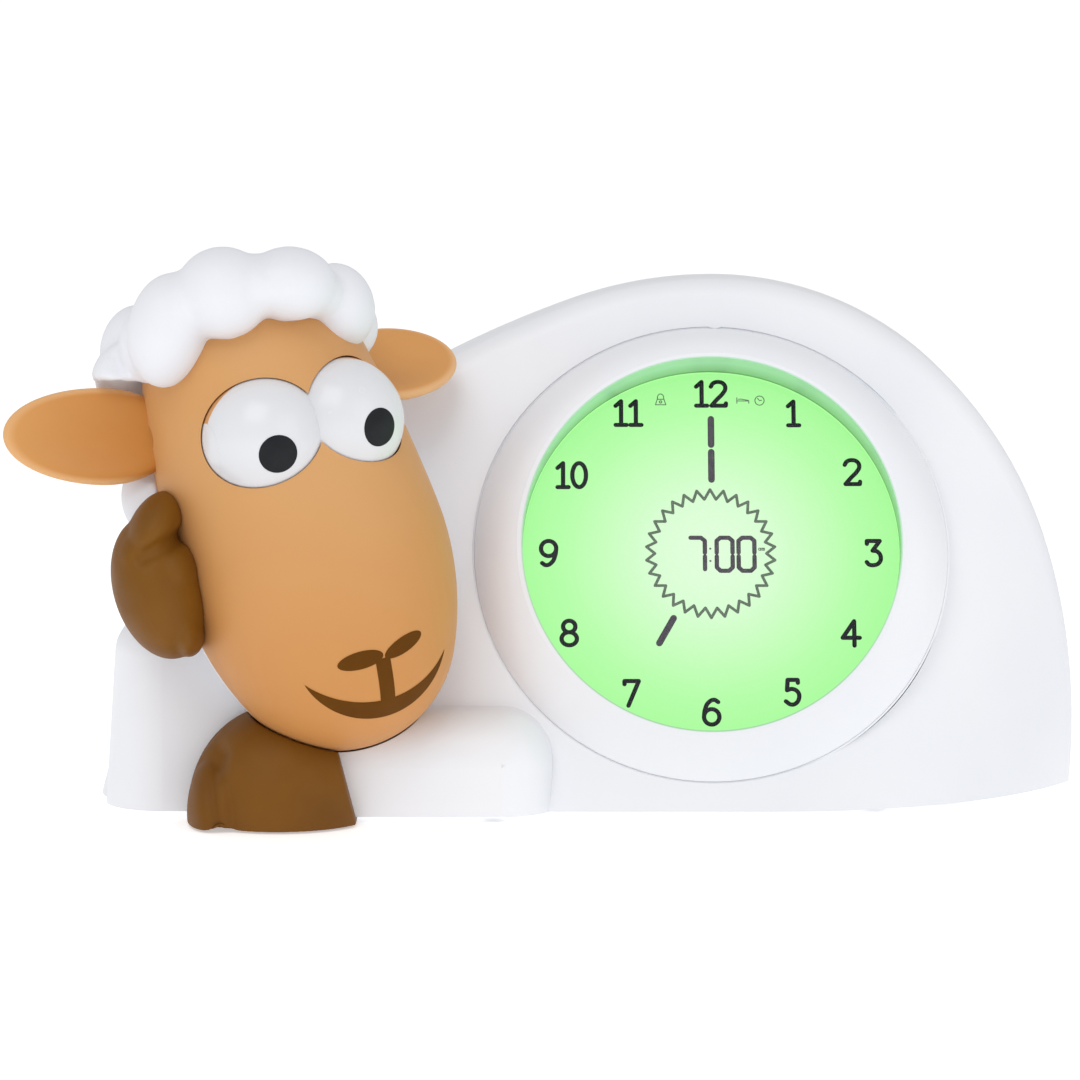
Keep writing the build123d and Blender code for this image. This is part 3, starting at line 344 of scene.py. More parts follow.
@dataclass(frozen=True)
class Metal:
    """Metal with fine drawn lines along one way."""

    name: str
    colour: Rgb
    dull: Point = (0.25, 0.4)
    lines: Sequence[float] = (0.0002, 0.004, 0.0002)
    shade: float = 0.82
    depth: float = 0.000008

    def make(self) -> bpy.types.Material:
        """Builds the material."""
        recipe = Recipe(self.name)
        stretched = recipe.framed(Vector((0, 0, 0)), Euler((0, 0, 0)), self.lines)
        lines = recipe.noise(1.0, 2.0, stretched)
        recipe.set(Metallic=1.0)
        shade = tuple(int(value * self.shade) for value in self.colour)
        recipe.feed(recipe.ramp(lines, [(0.3, shade), (0.7, self.colour)]), "Base Color")
        recipe.feed(recipe.span(lines, (0.3, 0.7), self.dull), "Roughness")
        recipe.emboss(lines, self.depth)
        return recipe.material


@dataclass(frozen=True)
class Rubber:
    """Dull rubber with a dusty bloom."""

    name: str
    colour: Rgb
    bloom: Rgb
    dust_size: float = 0.003
    grain_size: float = 0.0004
    grain_depth: float = 0.00003

    def make(self) -> bpy.types.Material:
        """Builds the material."""
        recipe = Recipe(self.name)
        dust = recipe.noise(self.dust_size, 4.0)
        recipe.feed(recipe.ramp(dust, [(0.4, self.colour), (0.8, self.bloom)]), "Base Color")
        recipe.feed(recipe.span(dust, (0.3, 0.8), (0.7, 0.9)), "Roughness")
        recipe.emboss(recipe.noise(self.grain_size, 2.0), self.grain_depth)
        return recipe.material


@dataclass(frozen=True)
class SolderMask:
    """A printed board: green mask over raised tracks."""

    name: str
    mask: Rgb
    track: Rgb
    turn: float
    track_depth: float = 0.00003

    def make(self) -> bpy.types.Material:
        """Builds the material."""
        recipe = Recipe(self.name)
        board = recipe.framed(Vector((0, 0, 0)), Euler((self.turn, 0, 0)))
        tracks = recipe.add("ShaderNodeTexBrick", offset=0.37, squash=1.0)
        grid = {"Scale": 260.0, "Mortar Size": 0.06, "Brick Width": 1.7, "Row Height": 0.5}
        for name, value in grid.items():
            tracks.inputs[name].default_value = value
        recipe.link(board, tracks.inputs["Vector"])
        recipe.feed(recipe.mix(tracks.outputs["Fac"], self.mask, self.track), "Base Color")
        recipe.set(Roughness=0.35, Coat_Weight=0.3)
        recipe.emboss(tracks.outputs["Fac"], self.track_depth)
        return recipe.material


@dataclass(frozen=True)
class CellSleeve:
    """A shrunk plastic sleeve between bare steel ends, along X."""

    name: str
    sleeve: Rgb
    band: Rgb
    steel: Rgb
    middle: float
    half: float
    band_width: float = 0.006
    wrinkle_size: float = 0.001
    wrinkle_depth: float = 0.00002

    def make(self) -> bpy.types.Material:
        """Builds the material."""
        recipe = Recipe(self.name)
        split = recipe.add("ShaderNodeSeparateXYZ")
        recipe.link(recipe.framed(Vector((self.middle, 0, 0)), Euler((0, 0, 0))), split.inputs["Vector"])
        along = recipe.math("ABSOLUTE", split.outputs["X"])
        bare = recipe.math("GREATER_THAN", along, self.half)
        banded = recipe.math("GREATER_THAN", along, self.half - self.band_width)
        recipe.feed(recipe.mix(bare, recipe.mix(banded, self.sleeve, self.band), self.steel), "Base Color")
        recipe.feed(bare, "Metallic")
        recipe.set(Roughness=0.3, Coat_Weight=0.2)
        recipe.emboss(recipe.noise(self.wrinkle_size, 2.0), self.wrinkle_depth)
        return recipe.material


@dataclass(frozen=True)
class Paper:
    """Pressed paper with short matted fibres."""

    name: str
    colour: Rgb
    fibre: Rgb
    fibre_size: float = 0.0006
    fibre_depth: float = 0.00006

    def make(self) -> bpy.types.Material:
        """Builds the material."""
        recipe = Recipe(self.name)
        fibres = recipe.noise(self.fibre_size, 5.0)
        recipe.feed(recipe.ramp(fibres, [(0.35, self.colour), (0.75, self.fibre)]), "Base Color")
        recipe.set(Roughness=0.9)
        recipe.emboss(fibres, self.fibre_depth)
        return recipe.material


@dataclass(frozen=True)
class ClearWindow:
    """Clear acrylic, hardly seen but for its reflections."""

    name: str
    alpha: float
    smear_size: float = 0.02

    def make(self) -> bpy.types.Material:
        """Builds the material."""
        recipe = Recipe(self.name)
        recipe.set(Base_Color=(0.02, 0.03, 0.02, 1.0), Alpha=self.alpha, IOR=1.45)
        recipe.feed(recipe.span(recipe.noise(self.smear_size), (0.3, 0.7), (0.06, 0.14)), "Roughness")
        return recipe.material


# ---------------------------------------------------------------- mesh work
def placed(name: str, data: bpy.types.ID) -> bpy.types.Object:
    """Puts a mesh, curve, light or camera in the scene as an object.

    Args:
        name: The object's name.
        data: What it holds.

    Returns:
        The object.
    """
    item = bpy.data.objects.new(name, data)
    bpy.context.scene.collection.objects.link(item)
    return item


def new_object(
    name: str, mesh: bpy.types.Mesh, material: bpy.types.Material, body: str
) -> bpy.types.Object:
    """Puts a finished mesh in the scene as a piece of the object.

    Args:
        name: The piece's name.
        mesh: Its mesh, already in place.
        material: Its finish.
        body: The CAD body that it rides on.

    Returns:
        The piece.
    """
    piece = placed(name, mesh)
    mesh.materials.clear()
    mesh.materials.append(material)
    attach(piece, body)
    LOG.info("%s: %d faces on %s", name, len(mesh.polygons), body)
    return piece


def applied(piece: bpy.types.Object, name: str) -> bpy.types.Mesh:
    """Gives the mesh that an object's modifiers or bevel make, and removes the object.

    Args:
        piece: A working object.
        name: A name for the mesh.

    Returns:
        The final mesh.
    """
    bpy.context.view_layer.update()
    graph = bpy.context.evaluated_depsgraph_get()
    mesh = bpy.data.meshes.new_from_object(piece.evaluated_get(graph))
    mesh.name = name
    bpy.data.objects.remove(piece)
    return mesh


def frame_copy(node: bpy.types.Object) -> bmesh.types.BMesh:
    """Gives a frame node's mesh with its loose triangles merged.

    Args:
        node: The node.

    Returns:
        The merged mesh, under construction.
    """
    work = bmesh.new()
    work.from_mesh(node.data)
    bmesh.ops.remove_doubles(work, verts=work.verts, dist=FRAME_MERGE)
    return work


def remeshed(work: bmesh.types.BMesh, name: str, voxel: float, relax: int) -> bpy.types.Mesh:
    """Fuses overlapping shells into one even skin and relaxes its creases.

    Args:
        work: The shells; they are freed.
        name: A name for the mesh.
        voxel: The size of the skin's faces.
        relax: How many times the skin is smoothed.

    Returns:
        The skin.
    """
    mesh = bpy.data.meshes.new(name)
    work.to_mesh(mesh)
    work.free()
    for attribute in [entry for entry in mesh.attributes if entry.name == "custom_normal"]:
        mesh.attributes.remove(attribute)
    piece = placed(name, mesh)
    remesh = piece.modifiers.new("Fuse", "REMESH")
    remesh.mode = "VOXEL"
    remesh.voxel_size = voxel
    remesh.use_smooth_shade = True
    if relax:
        smooth = piece.modifiers.new("Relax", "SMOOTH")
        smooth.factor = 0.5
        smooth.iterations = relax
    return applied(piece, name)


def add_blob(work: bmesh.types.BMesh, place: Matrix) -> None:
    """Adds a ball to a mesh under construction, its place turning the unit ball."""
    bmesh.ops.create_icosphere(work, subdivisions=BALL_FINENESS, radius=1.0, matrix=place)


def settled(work: bmesh.types.BMesh, name: str, smooth: bool = False) -> bpy.types.Mesh:
    """Turns a form's faces outwards and makes it a mesh.

    Args:
        work: The form; it is freed.
        name: A name for the mesh.
        smooth: Whether its faces are shaded as one surface.

    Returns:
        The mesh.
    """
    bmesh.ops.recalc_face_normals(work, faces=work.faces)
    mesh = bpy.data.meshes.new(name)
    work.to_mesh(mesh)
    work.free()
    if smooth:
        mesh.shade_smooth()
    return mesh


# ---------------------------------------------------------------- strokes for marks and numbers
@dataclass(frozen=True)
class Stroke:
    """One stroke of a pen: the points it passes, in the units of its mark."""

    points: Sequence[Point]
    smooth: bool = False
    closed: bool = False

    def runs(self) -> list[Sequence[Point]]:
        """Gives the stroke's unbroken runs: the whole of a smooth one, each side of a cornered one."""
        if self.smooth:
            return [self.points]
        ring = [*self.points, self.points[0]] if self.closed else self.points
        return [ring[place:place + 2] for place in range(len(ring) - 1)]

    def ends(self) -> Sequence[Point]:
        """Gives the places where the ink is rounded off."""
        if not self.smooth:
            return self.points
        return () if self.closed else (self.points[0], self.points[-1])


def oval(centre: Point, radii: Point, steps: int = 12) -> Stroke:
    """Gives a closed oval stroke.

    Args:
        centre: Its centre.
        radii: Half its width and half its height.
        steps: How many points it passes.

    Returns:
        The stroke.
    """
    (x, y), (wide, tall) = centre, radii
    turns = [math.tau * step / steps for step in range(steps)]
    points = [(x + wide * math.cos(turn), y + tall * math.sin(turn)) for turn in turns]
    return Stroke(points, smooth=True, closed=True)


@dataclass
class Pen:
    """Draws strokes as thin raised ink with round ends."""

    width: float
    ink: float

    def draw(self, name: str, strokes: Sequence[Stroke], place: Matrix) -> bpy.types.Mesh:
        """Draws a mark.

        Args:
            name: The mesh's name.
            strokes: The mark's strokes, in metres on the XY plane.
            place: Where the plane lies.

        Returns:
            The mark's mesh.
        """
        curve = bpy.data.curves.new(name, "CURVE")
        curve.dimensions = "3D"
        curve.bevel_depth = self.width / 2
        curve.bevel_resolution = 2
        curve.resolution_u = 6
        for stroke in strokes:
            for run in stroke.runs():
                spline = curve.splines.new("BEZIER")
                spline.bezier_points.add(len(run) - 1)
                spline.use_cyclic_u = stroke.smooth and stroke.closed
                for knot, (x, y) in zip(spline.bezier_points, run):
                    knot.co = (x, y, 0)
                    knot.handle_left_type = knot.handle_right_type = "AUTO" if stroke.smooth else "VECTOR"
        mesh = applied(placed(name, curve), name)
        work = bmesh.new()
        work.from_mesh(mesh)
        for x, y in [end for stroke in strokes for end in stroke.ends()]:
            spot = Matrix.Translation((x, y, 0))
            bmesh.ops.create_uvsphere(work, u_segments=12, v_segments=6, radius=self.width / 2, matrix=spot)
        flat = Matrix.Diagonal((1, 1, self.ink / self.width)).to_4x4()
        bmesh.ops.transform(work, matrix=place @ flat, verts=work.verts)
        bmesh.ops.recalc_face_normals(work, faces=work.faces)
        work.to_mesh(mesh)
        work.free()
        return mesh


class Figure(Enum):
    """The digits, drawn on a centre line one unit high, slab-footed and round-ended."""

    ZERO = (0.54, (oval((0.27, 0.5), (0.27, 0.5)),))
    ONE = (0.44, (Stroke(((0.22, 0.0), (0.22, 1.0), (0.0, 0.8))), Stroke(((0.0, 0.0), (0.44, 0.0)))))
    TWO = (0.6, (
        Stroke(((0.0, 0.8), (0.09, 0.94), (0.3, 1.0), (0.51, 0.92), (0.58, 0.73), (0.48, 0.52), (0.25, 0.27),
                (0.02, 0.0)), True),
        Stroke(((0.02, 0.0), (0.59, 0.0), (0.6, 0.1)))))
    THREE = (0.56, (
        Stroke(((0.02, 0.88), (0.02, 1.0), (0.53, 1.0), (0.24, 0.6))),
        Stroke(((0.24, 0.6), (0.43, 0.56), (0.56, 0.33), (0.48, 0.09), (0.26, 0.0), (0.09, 0.03),
                (0.0, 0.13)), True)))
    FOUR = (0.67, (Stroke(((0.46, 0.0), (0.46, 1.0), (0.0, 0.32), (0.67, 0.32))),))
    FIVE = (0.52, (
        Stroke(((0.48, 0.88), (0.47, 1.0), (0.08, 1.0), (0.05, 0.58))),
        Stroke(((0.05, 0.58), (0.26, 0.63), (0.48, 0.5), (0.52, 0.27), (0.38, 0.04), (0.2, 0.0),
                (0.0, 0.13)), True)))
    SIX = (0.6, (
        Stroke(((0.56, 0.91), (0.4, 1.0), (0.18, 0.89), (0.04, 0.6), (0.0, 0.32)), True),
        oval((0.3, 0.31), (0.3, 0.31))))
    SEVEN = (0.56, (Stroke(((0.0, 0.87), (0.0, 1.0), (0.56, 1.0), (0.15, 0.0))),))
    EIGHT = (0.6, (oval((0.3, 0.765), (0.24, 0.235)), oval((0.3, 0.265), (0.3, 0.265))))
    NINE = (0.6, (
        Stroke(((0.04, 0.09), (0.2, 0.0), (0.42, 0.11), (0.56, 0.4), (0.6, 0.69)), True),
        oval((0.3, 0.69), (0.3, 0.31))))

    @property
    def width(self) -> float:
        """The figure's width."""
        return self.value[0]

    @property
    def strokes(self) -> Sequence[Stroke]:
        """The figure's strokes."""
        return self.value[1]


FIGURES = tuple(Figure)


def moved(strokes: Sequence[Stroke], shift: Point, size: float = 1.0) -> list[Stroke]:
    """Gives strokes scaled and then moved.

    Args:
        strokes: The strokes.
        shift: How far they move.
        size: How much they grow first.

    Returns:
        The new strokes.
    """
    across, up = shift
    return [
        Stroke([(x * size + across, y * size + up) for x, y in stroke.points], stroke.smooth, stroke.closed)
        for stroke in strokes
    ]


def number(value: int, size: float, spread: float) -> list[Stroke]:
    """Writes a number centred on the origin.

    Args:
        value: The number.
        size: The height of its centre line.
        spread: The gap between its digits, as a share of the height.

    Returns:
        The number's strokes.
    """
    figures = [FIGURES[int(letter)] for letter in str(value)]
    total = sum(figure.width for figure in figures) + spread * (len(figures) - 1)
    strokes: list[Stroke] = []
    across = -total / 2
    for figure in figures:
        strokes += moved(figure.strokes, (across * size, -size / 2), size)
        across += figure.width + spread
    return strokes


# ---------------------------------------------------------------- palette
class Finish(Enum):
    """The finishes of the frame's nodes, by material slot."""

    WHITE_CASING = Moulding("white_casing", (237, 238, 242), (233, 235, 240), (0.34, 0.44))
    WHITE_BUTTONS = Moulding("white_buttons", (230, 233, 238), (225, 229, 235), (0.4, 0.5))
    FLEECE = Moulding("fleece", (233, 234, 239), (229, 231, 237), (0.5, 0.62), grain_size=0.0008,
                      grain_depth=0.00002)
    # The face's tan carries painted shade: paler near a point before the brow, deeper towards the chin.
    TAN_FACE = Faded("tan_face", (215, 164, 108), (212, 158, 101), (0.46, 0.56), sheen=0.06, gloss=0.35,
                     deep=(203, 140, 74), heart=(-0.058, -0.07, 0.098), near=0.0, far=0.075)
    TAN_EAR = Moulding("tan_ear", (212, 152, 88), (208, 145, 81), (0.46, 0.56), gloss=0.3)
    TAN_LID = Moulding("tan_lid", (211, 158, 102), (205, 150, 95), (0.45, 0.55))
    BROWN_HOOF = Moulding("brown_hoof", (122, 78, 13), (110, 68, 9), (0.5, 0.6), cloud_size=0.02, gloss=0.22)
    BROWN_INLAY = Moulding("brown_inlay", (101, 60, 5), (96, 56, 4), (0.6, 0.7), cloud_size=0.01, gloss=0.1)
    EYE_WHITE = Moulding("eye_white", (225, 226, 229), (221, 222, 226), (0.2, 0.28), grain_depth=0.000004)
    PUPIL_BLACK = Moulding("pupil_black", (25, 28, 32), (20, 23, 27), (0.34, 0.42), cloud_size=0.004,
                           gloss=0.2)
    CLEAR_WINDOW = ClearWindow("clear_window", 0.06)
    LIGHT_GUIDE = Moulding("light_guide", (225, 245, 222), (215, 240, 212), (0.5, 0.6))
    LED_BODY = Moulding("led_body", (220, 242, 160), (205, 235, 140), (0.2, 0.3), cloud_size=0.002)
    CONTACT_RUBBER = Rubber("contact_rubber", (72, 72, 78), (92, 92, 96))
    CIRCUIT_BOARD = SolderMask("circuit_board", (20, 84, 44), (36, 112, 60), math.radians(66))
    BLACK_PARTS = Moulding("black_parts", (24, 24, 27), (32, 32, 35), (0.45, 0.6), cloud_size=0.006,
                           grain_depth=0.00003)
    SCREWS = Metal("screws", (182, 182, 186), (0.25, 0.42), (0.0003, 0.0003, 0.0003))
    PINS = Metal("pins", (190, 190, 194), (0.15, 0.3), (0.003, 0.0002, 0.0002))
    FEET = Rubber("feet", (78, 78, 80), (98, 98, 100))
    INNER_PLASTIC = Moulding("inner_plastic", (205, 207, 210), (198, 200, 204), (0.5, 0.65))
    GEARS = Moulding("gears", (230, 227, 212), (222, 219, 203), (0.4, 0.55), cloud_size=0.004, soften=0.3)
    CELLS = CellSleeve("cells", (38, 108, 76), (214, 174, 60), (196, 196, 192), 0.0351, 0.0232)
    CONTACTS = Metal("contacts", (200, 199, 196), (0.12, 0.24), (0.0004, 0.0004, 0.003))
    SPEAKER_STEEL = Metal("speaker_steel", (118, 118, 122), (0.35, 0.5))
    SPEAKER_PAPER = Paper("speaker_paper", (28, 28, 31), (52, 52, 55))
    MOTOR_CAN = Metal("motor_can", (160, 160, 165), (0.25, 0.35), (0.004, 0.0002, 0.0002))
    SIGN_GREY = Moulding("sign_grey", (120, 124, 130), (112, 116, 122), (0.5, 0.6), cloud_size=0.004)


class Palette:
    """Makes each material once and keeps it."""

    def __init__(self) -> None:
        """Starts with nothing made."""
        self.made: dict[str, bpy.types.Material] = {}

    def __getitem__(self, finish: Finish) -> bpy.types.Material:
        """Gives a finish's material.

        Args:
            finish: The finish.

        Returns:
            Its material, made when it is first asked for.
        """
        if finish.name not in self.made:
            self.made[finish.name] = finish.value.make()
        return self.made[finish.name]


@dataclass
class Workshop:
    """What every sub-assembly needs: the frame and the materials."""

    nodes: dict[str, bpy.types.Object]
    palette: Palette = field(default_factory=Palette)

    def coat(self, material: bpy.types.Material, *names: str) -> None:
        """Gives frame nodes a material.

        Args:
            material: The material.
            *names: The nodes.
        """
        for name in names:
            slots = self.nodes[name].data.materials
            slots.clear()
            slots.append(material)

    def finish(self, finish: Finish, *names: str) -> None:
        """Gives frame nodes one of the finishes."""
        self.coat(self.palette[finish], *names)


# ---------------------------------------------------------------- casing
@dataclass
class Casing:
    """The two halves of the hill, its base and its feet."""

    workshop: Workshop

    def build(self) -> None:
        """Finishes the casing."""
        finish = self.workshop.finish
        finish(Finish.WHITE_CASING, "front_shell", "rear_shell", "base_plate", "battery_door")
        finish(Finish.FEET, "rubber_feet")
        finish(Finish.SCREWS, "base_screws", "shell_screws", "bezel_screws", "board_screws",
               "button_board_screws", "neck_screws", "bracket_screws", "battery_door_screw")


# ---------------------------------------------------------------- dial
@dataclass
class Dial:
    """The lit dial: the display's glow, its numbers, hands, sun and small signs."""

    workshop: Workshop
    lean: float = math.radians(24)
    opening: float = 46.9
    figure_height: float = 6.3
    figure_pen: float = 1.1
    figure_gap: float = 0.15
    figure_places: Sequence[Point] = (
        (21.2, 36.8), (35.7, 21.3), (40.6, 0.1), (34.6, -20.7), (19.8, -35.8), (-0.2, -40.9),
        (-19.9, -36.1), (-35.3, -20.6), (-40.4, 0.1), (-34.6, 20.5), (-20.3, 36.9), (0.5, 42.0))
    hand_pen: float = 1.66
    sun_teeth: int = 30
    sun_outer: Point = (16.1, 16.7)
    sun_inner: Point = (13.9, 14.2)
    sun_pen: float = 0.72
    time_pen: float = 1.10
    sign_pen: float = 0.24
    ink: float = 0.06
    seal_ring: float = 59.15
    seal_radius: float = 0.32
    seal_depth: float = -0.62
    seal_sides: int = 12
    seal_steps: int = 180
    front_gap: float = 1.55
    panel: float = 1.8
    lift: float = 0.05
    # Where the painted shade under the bezel's lip falls on the display.
    hood_drop: float = 0.9
    hood_edge: Point = (46.5, 47.0)
    # The bezel's inner wall, where the display's light is painted, and the height of its painted glow at the
    # foot.
    wall_edge: Point = (0.12, 0.5)
    wall_height: float = 9.5
    lit_edge: Point = (2.38, 2.46)
    glow_strength: float = 1.06
    edge_green: Rgb = (170, 254, 156)
    ink_patch: float = 0.002
    bezel_patch: float = 0.02

    def __post_init__(self) -> None:
        """Finds the dial's middle on the display's front."""
        low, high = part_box("lcd_panel")
        self.turn = Euler((math.pi / 2 - self.lean, 0, 0))
        outward = self.turn.to_matrix() @ Vector((0, 0, 1))
        self.middle = (low + high) / 2 + outward * (self.panel * MILLIMETRE / 2 + self.lift * MILLIMETRE)
        self.plane = self.plane_at(self.middle)

    def plane_at(self, point: Vector) -> Matrix:
        """Gives the matrix that takes millimetres on the dial's slope, round a point, to the scene."""
        return Matrix.Translation(point) @ self.turn.to_matrix().to_4x4() @ IN_MILLIMETRES

    def mark(self, name: str, strokes: Sequence[Stroke], width: float, material: bpy.types.Material) -> None:
        """Draws a mark on the display.

        Args:
            name: The piece's name.
            strokes: Its strokes in millimetres from the dial's middle.
            width: The width of its lines in millimetres.
            material: Its ink.
        """
        mesh = Pen(width, self.ink).draw(name, strokes, self.plane)
        new_object(name, mesh, material, "clock")

    def glow(self) -> bpy.types.Material:
        """Builds the display's lit green, palest in the middle, with painted shade under the hood."""
        recipe = Recipe("display")
        there = recipe.framed(self.middle, self.turn, MILLIMETRES)
        away = recipe.math("DIVIDE", recipe.reach(there, (1, 1, 0)), self.opening)
        colour = recipe.ramp(away, [(0.0, (228, 255, 222)), (0.3, (219, 255, 213)), (0.52, (203, 255, 193)),
                                    (0.78, (181, 255, 168)), (1.0, self.edge_green)])
        # Painted shade: a ring just inside the lip, set a little low, dulls the green.
        drop = self.turn.to_matrix() @ Vector((0, self.hood_drop * MILLIMETRE, 0))
        lower = recipe.framed(self.middle - drop, self.turn, MILLIMETRES)
        hood = recipe.span(recipe.reach(lower, (1, 1, 0)), self.hood_edge, (0.0, 1.0), smooth=True)
        colour = recipe.mix(hood, colour, (168, 252, 154))
        recipe.set(Base_Color=(0.02, 0.03, 0.02, 1.0), Roughness=0.6, Emission_Strength=self.glow_strength)
        recipe.feed(colour, "Emission Color")
        return recipe.material

    def collar(self) -> bpy.types.Material:
        """Builds the bezel's white, with the display's light painted on the inner wall: a painted glow at its
        foot, a dark band of painted shade above that, then painted green light paling towards the front.
        """
        recipe = Recipe("bezel")
        white: Moulding = Finish.WHITE_CASING.value
        there = recipe.framed(self.middle, self.turn, MILLIMETRES)
        edge = (self.opening + self.wall_edge[0], self.opening + self.wall_edge[1])
        inside = recipe.span(recipe.reach(there, (1, 1, 0)), edge, (1.0, 0.0), smooth=True)
        split = recipe.add("ShaderNodeSeparateXYZ")
        recipe.link(there, split.inputs["Vector"])
        # Painted light on the inner wall: black at the foot under the painted glow, a dark green band of
        # painted shade, then green paling towards the front.
        green = recipe.ramp(recipe.span(split.outputs["Z"], (0.0, self.wall_height), (0.0, 1.0)),
                            [(0.25, (0, 0, 0)), (0.26, (92, 138, 84)), (0.33, (120, 168, 118)),
                             (0.4, (150, 200, 154)), (1.0, (180, 226, 192))])
        recipe.feed(recipe.mix(inside, white.base(recipe), green), "Base Color")
        # Painted glow: the foot of the inner wall shines with the display's edge green.
        lit = recipe.math("MULTIPLY", inside, recipe.span(split.outputs["Z"], self.lit_edge, (1.0, 0.0)))
        recipe.set(Emission_Color=linear(self.edge_green))
        recipe.feed(lit, "Emission Strength")
        white.texture(recipe, self.bezel_patch)
        return recipe.material

    def ink_material(self, name: str, colour: Rgb, worn: Rgb, glow: float) -> bpy.types.Material:
        """Builds an ink that lets a little of the light behind it through.

        Args:
            name: The material's name.
            colour: The ink's colour.
            worn: Its colour in the thinner patches.
            glow: How much light comes through.

        Returns:
            The material.
        """
        recipe = Recipe(name)
        shade = recipe.ramp(recipe.noise(self.ink_patch), [(0.35, colour), (0.7, worn)])
        recipe.feed(shade, "Base Color")
        recipe.feed(shade, "Emission Color")
        recipe.set(Roughness=0.7, Specular_IOR_Level=0.2, Emission_Strength=glow)
        return recipe.material

    def spoke(self, turn: float, near: float, far: float) -> Stroke:
        """Gives a straight stroke outwards, its turn in degrees clockwise from the top."""
        sine, cosine = math.sin(math.radians(turn)), math.cos(math.radians(turn))
        return Stroke(((near * sine, near * cosine), (far * sine, far * cosine)))

    def numbers(self) -> list[Stroke]:
        """Gives the hours round the dial."""
        strokes: list[Stroke] = []
        for hour, place in enumerate(self.figure_places, 1):
            strokes += moved(number(hour, self.figure_height, self.figure_gap), place)
        return strokes

    def sun(self) -> list[Stroke]:
        """Gives the zigzag ring round the digital time."""
        points = []
        for step in range(2 * self.sun_teeth):
            radii = self.sun_outer if step % 2 == 0 else self.sun_inner
            turn = math.pi * step / self.sun_teeth
            points.append((radii[0] * math.sin(turn), radii[1] * math.cos(turn)))
        return [Stroke(points, closed=True)]

    def digital_time(self) -> list[Stroke]:
        """Gives the seven o'clock of the digital display."""
        top, foot, gap_top, gap_foot = 4.1, -4.5, 0.2, -0.75
        shoulder, ankle, corner, wide = 3.3, -3.6, 0.9, 3.95
        strokes = [
            Stroke(((-5.0, top), (-2.4, top), (-1.45, shoulder), (-1.45, gap_top))),
            Stroke(((-1.45, gap_foot), (-1.45, -4.1))),
        ]
        for left in (1.5, 6.95):
            right = left + wide
            for gap, bend, end in ((gap_top, shoulder, top), (gap_foot, ankle, foot)):
                strokes.append(Stroke(((left, gap), (left, bend), (left + corner, end),
                                       (right - corner, end), (right, bend), (right, gap))))
        return strokes

    def small_marks(self) -> list[Stroke]:
        """Gives the colon's dots and the morning mark beside the time."""
        strokes = [oval((-0.1, y), (0.16, 0.16), 6) for y in (1.25, -1.95)]
        strokes.append(oval((12.2, 1.1), (0.25, 0.28), 6))
        strokes.append(Stroke(((12.5, 1.4), (12.5, 0.8))))
        strokes.append(Stroke(((12.8, 0.8), (12.8, 1.4), (13.1, 1.38), (13.1, 0.8))))
        strokes.append(Stroke(((13.1, 1.38), (13.4, 1.36), (13.4, 0.8))))
        return strokes

    def signs(self) -> list[Stroke]:
        """Gives the small lock, bed and clock signs beside the twelve."""
        lock = [
            Stroke(((-1.3, -1.1), (-0.85, 0.35), (0.85, 0.35), (1.3, -1.1)), closed=True),
            Stroke(((-0.75, 0.4), (-0.72, 1.2), (0.0, 1.75), (0.72, 1.2), (0.75, 0.4)), smooth=True),
            oval((0.0, -0.35), (0.3, 0.3), 6),
        ]
        bed = [Stroke(((-1.5, 0.75), (-1.5, -0.7))), Stroke(((-1.5, -0.1), (1.5, -0.1), (1.5, -0.7))),
               Stroke(((-1.1, 0.35), (-0.5, 0.4), (1.4, 0.05)))]
        face = [oval((0.0, 0.0), (1.15, 1.2)),
                Stroke(((0.0, 0.0), (-0.5, 0.6))), Stroke(((0.0, 0.0), (0.55, 0.1)))]
        return moved(lock, (-12.2, 40.2)) + moved(bed, (8.5, 40.2)) + moved(face, (12.7, 40.2))

    def seal(self) -> None:
        """Makes the soft ring that fills the groove between the bezel and the casing."""
        work = bmesh.new()
        across = Matrix.Rotation(math.pi / 2, 4, "X")
        shift = Matrix.Translation((self.seal_ring, 0, self.seal_depth))
        bmesh.ops.create_circle(work, segments=self.seal_sides, radius=self.seal_radius, matrix=shift @ across)
        bmesh.ops.spin(work, geom=work.verts[:] + work.edges[:], cent=(0, 0, 0), axis=(0, 0, 1),
                       angle=math.tau, steps=self.seal_steps, use_merge=True)
        bmesh.ops.transform(work, matrix=self.plane_at(self.face_point()), verts=work.verts)
        mesh = settled(work, "bezel_seal", smooth=True)
        new_object("bezel_seal", mesh, self.workshop.palette[Finish.WHITE_CASING], "clock")

    def face_point(self) -> Vector:
        """Gives the dial's middle in the plane of the casing's face."""
        outward = self.turn.to_matrix() @ Vector((0, 0, 1))
        return self.middle + outward * (self.front_gap * MILLIMETRE)

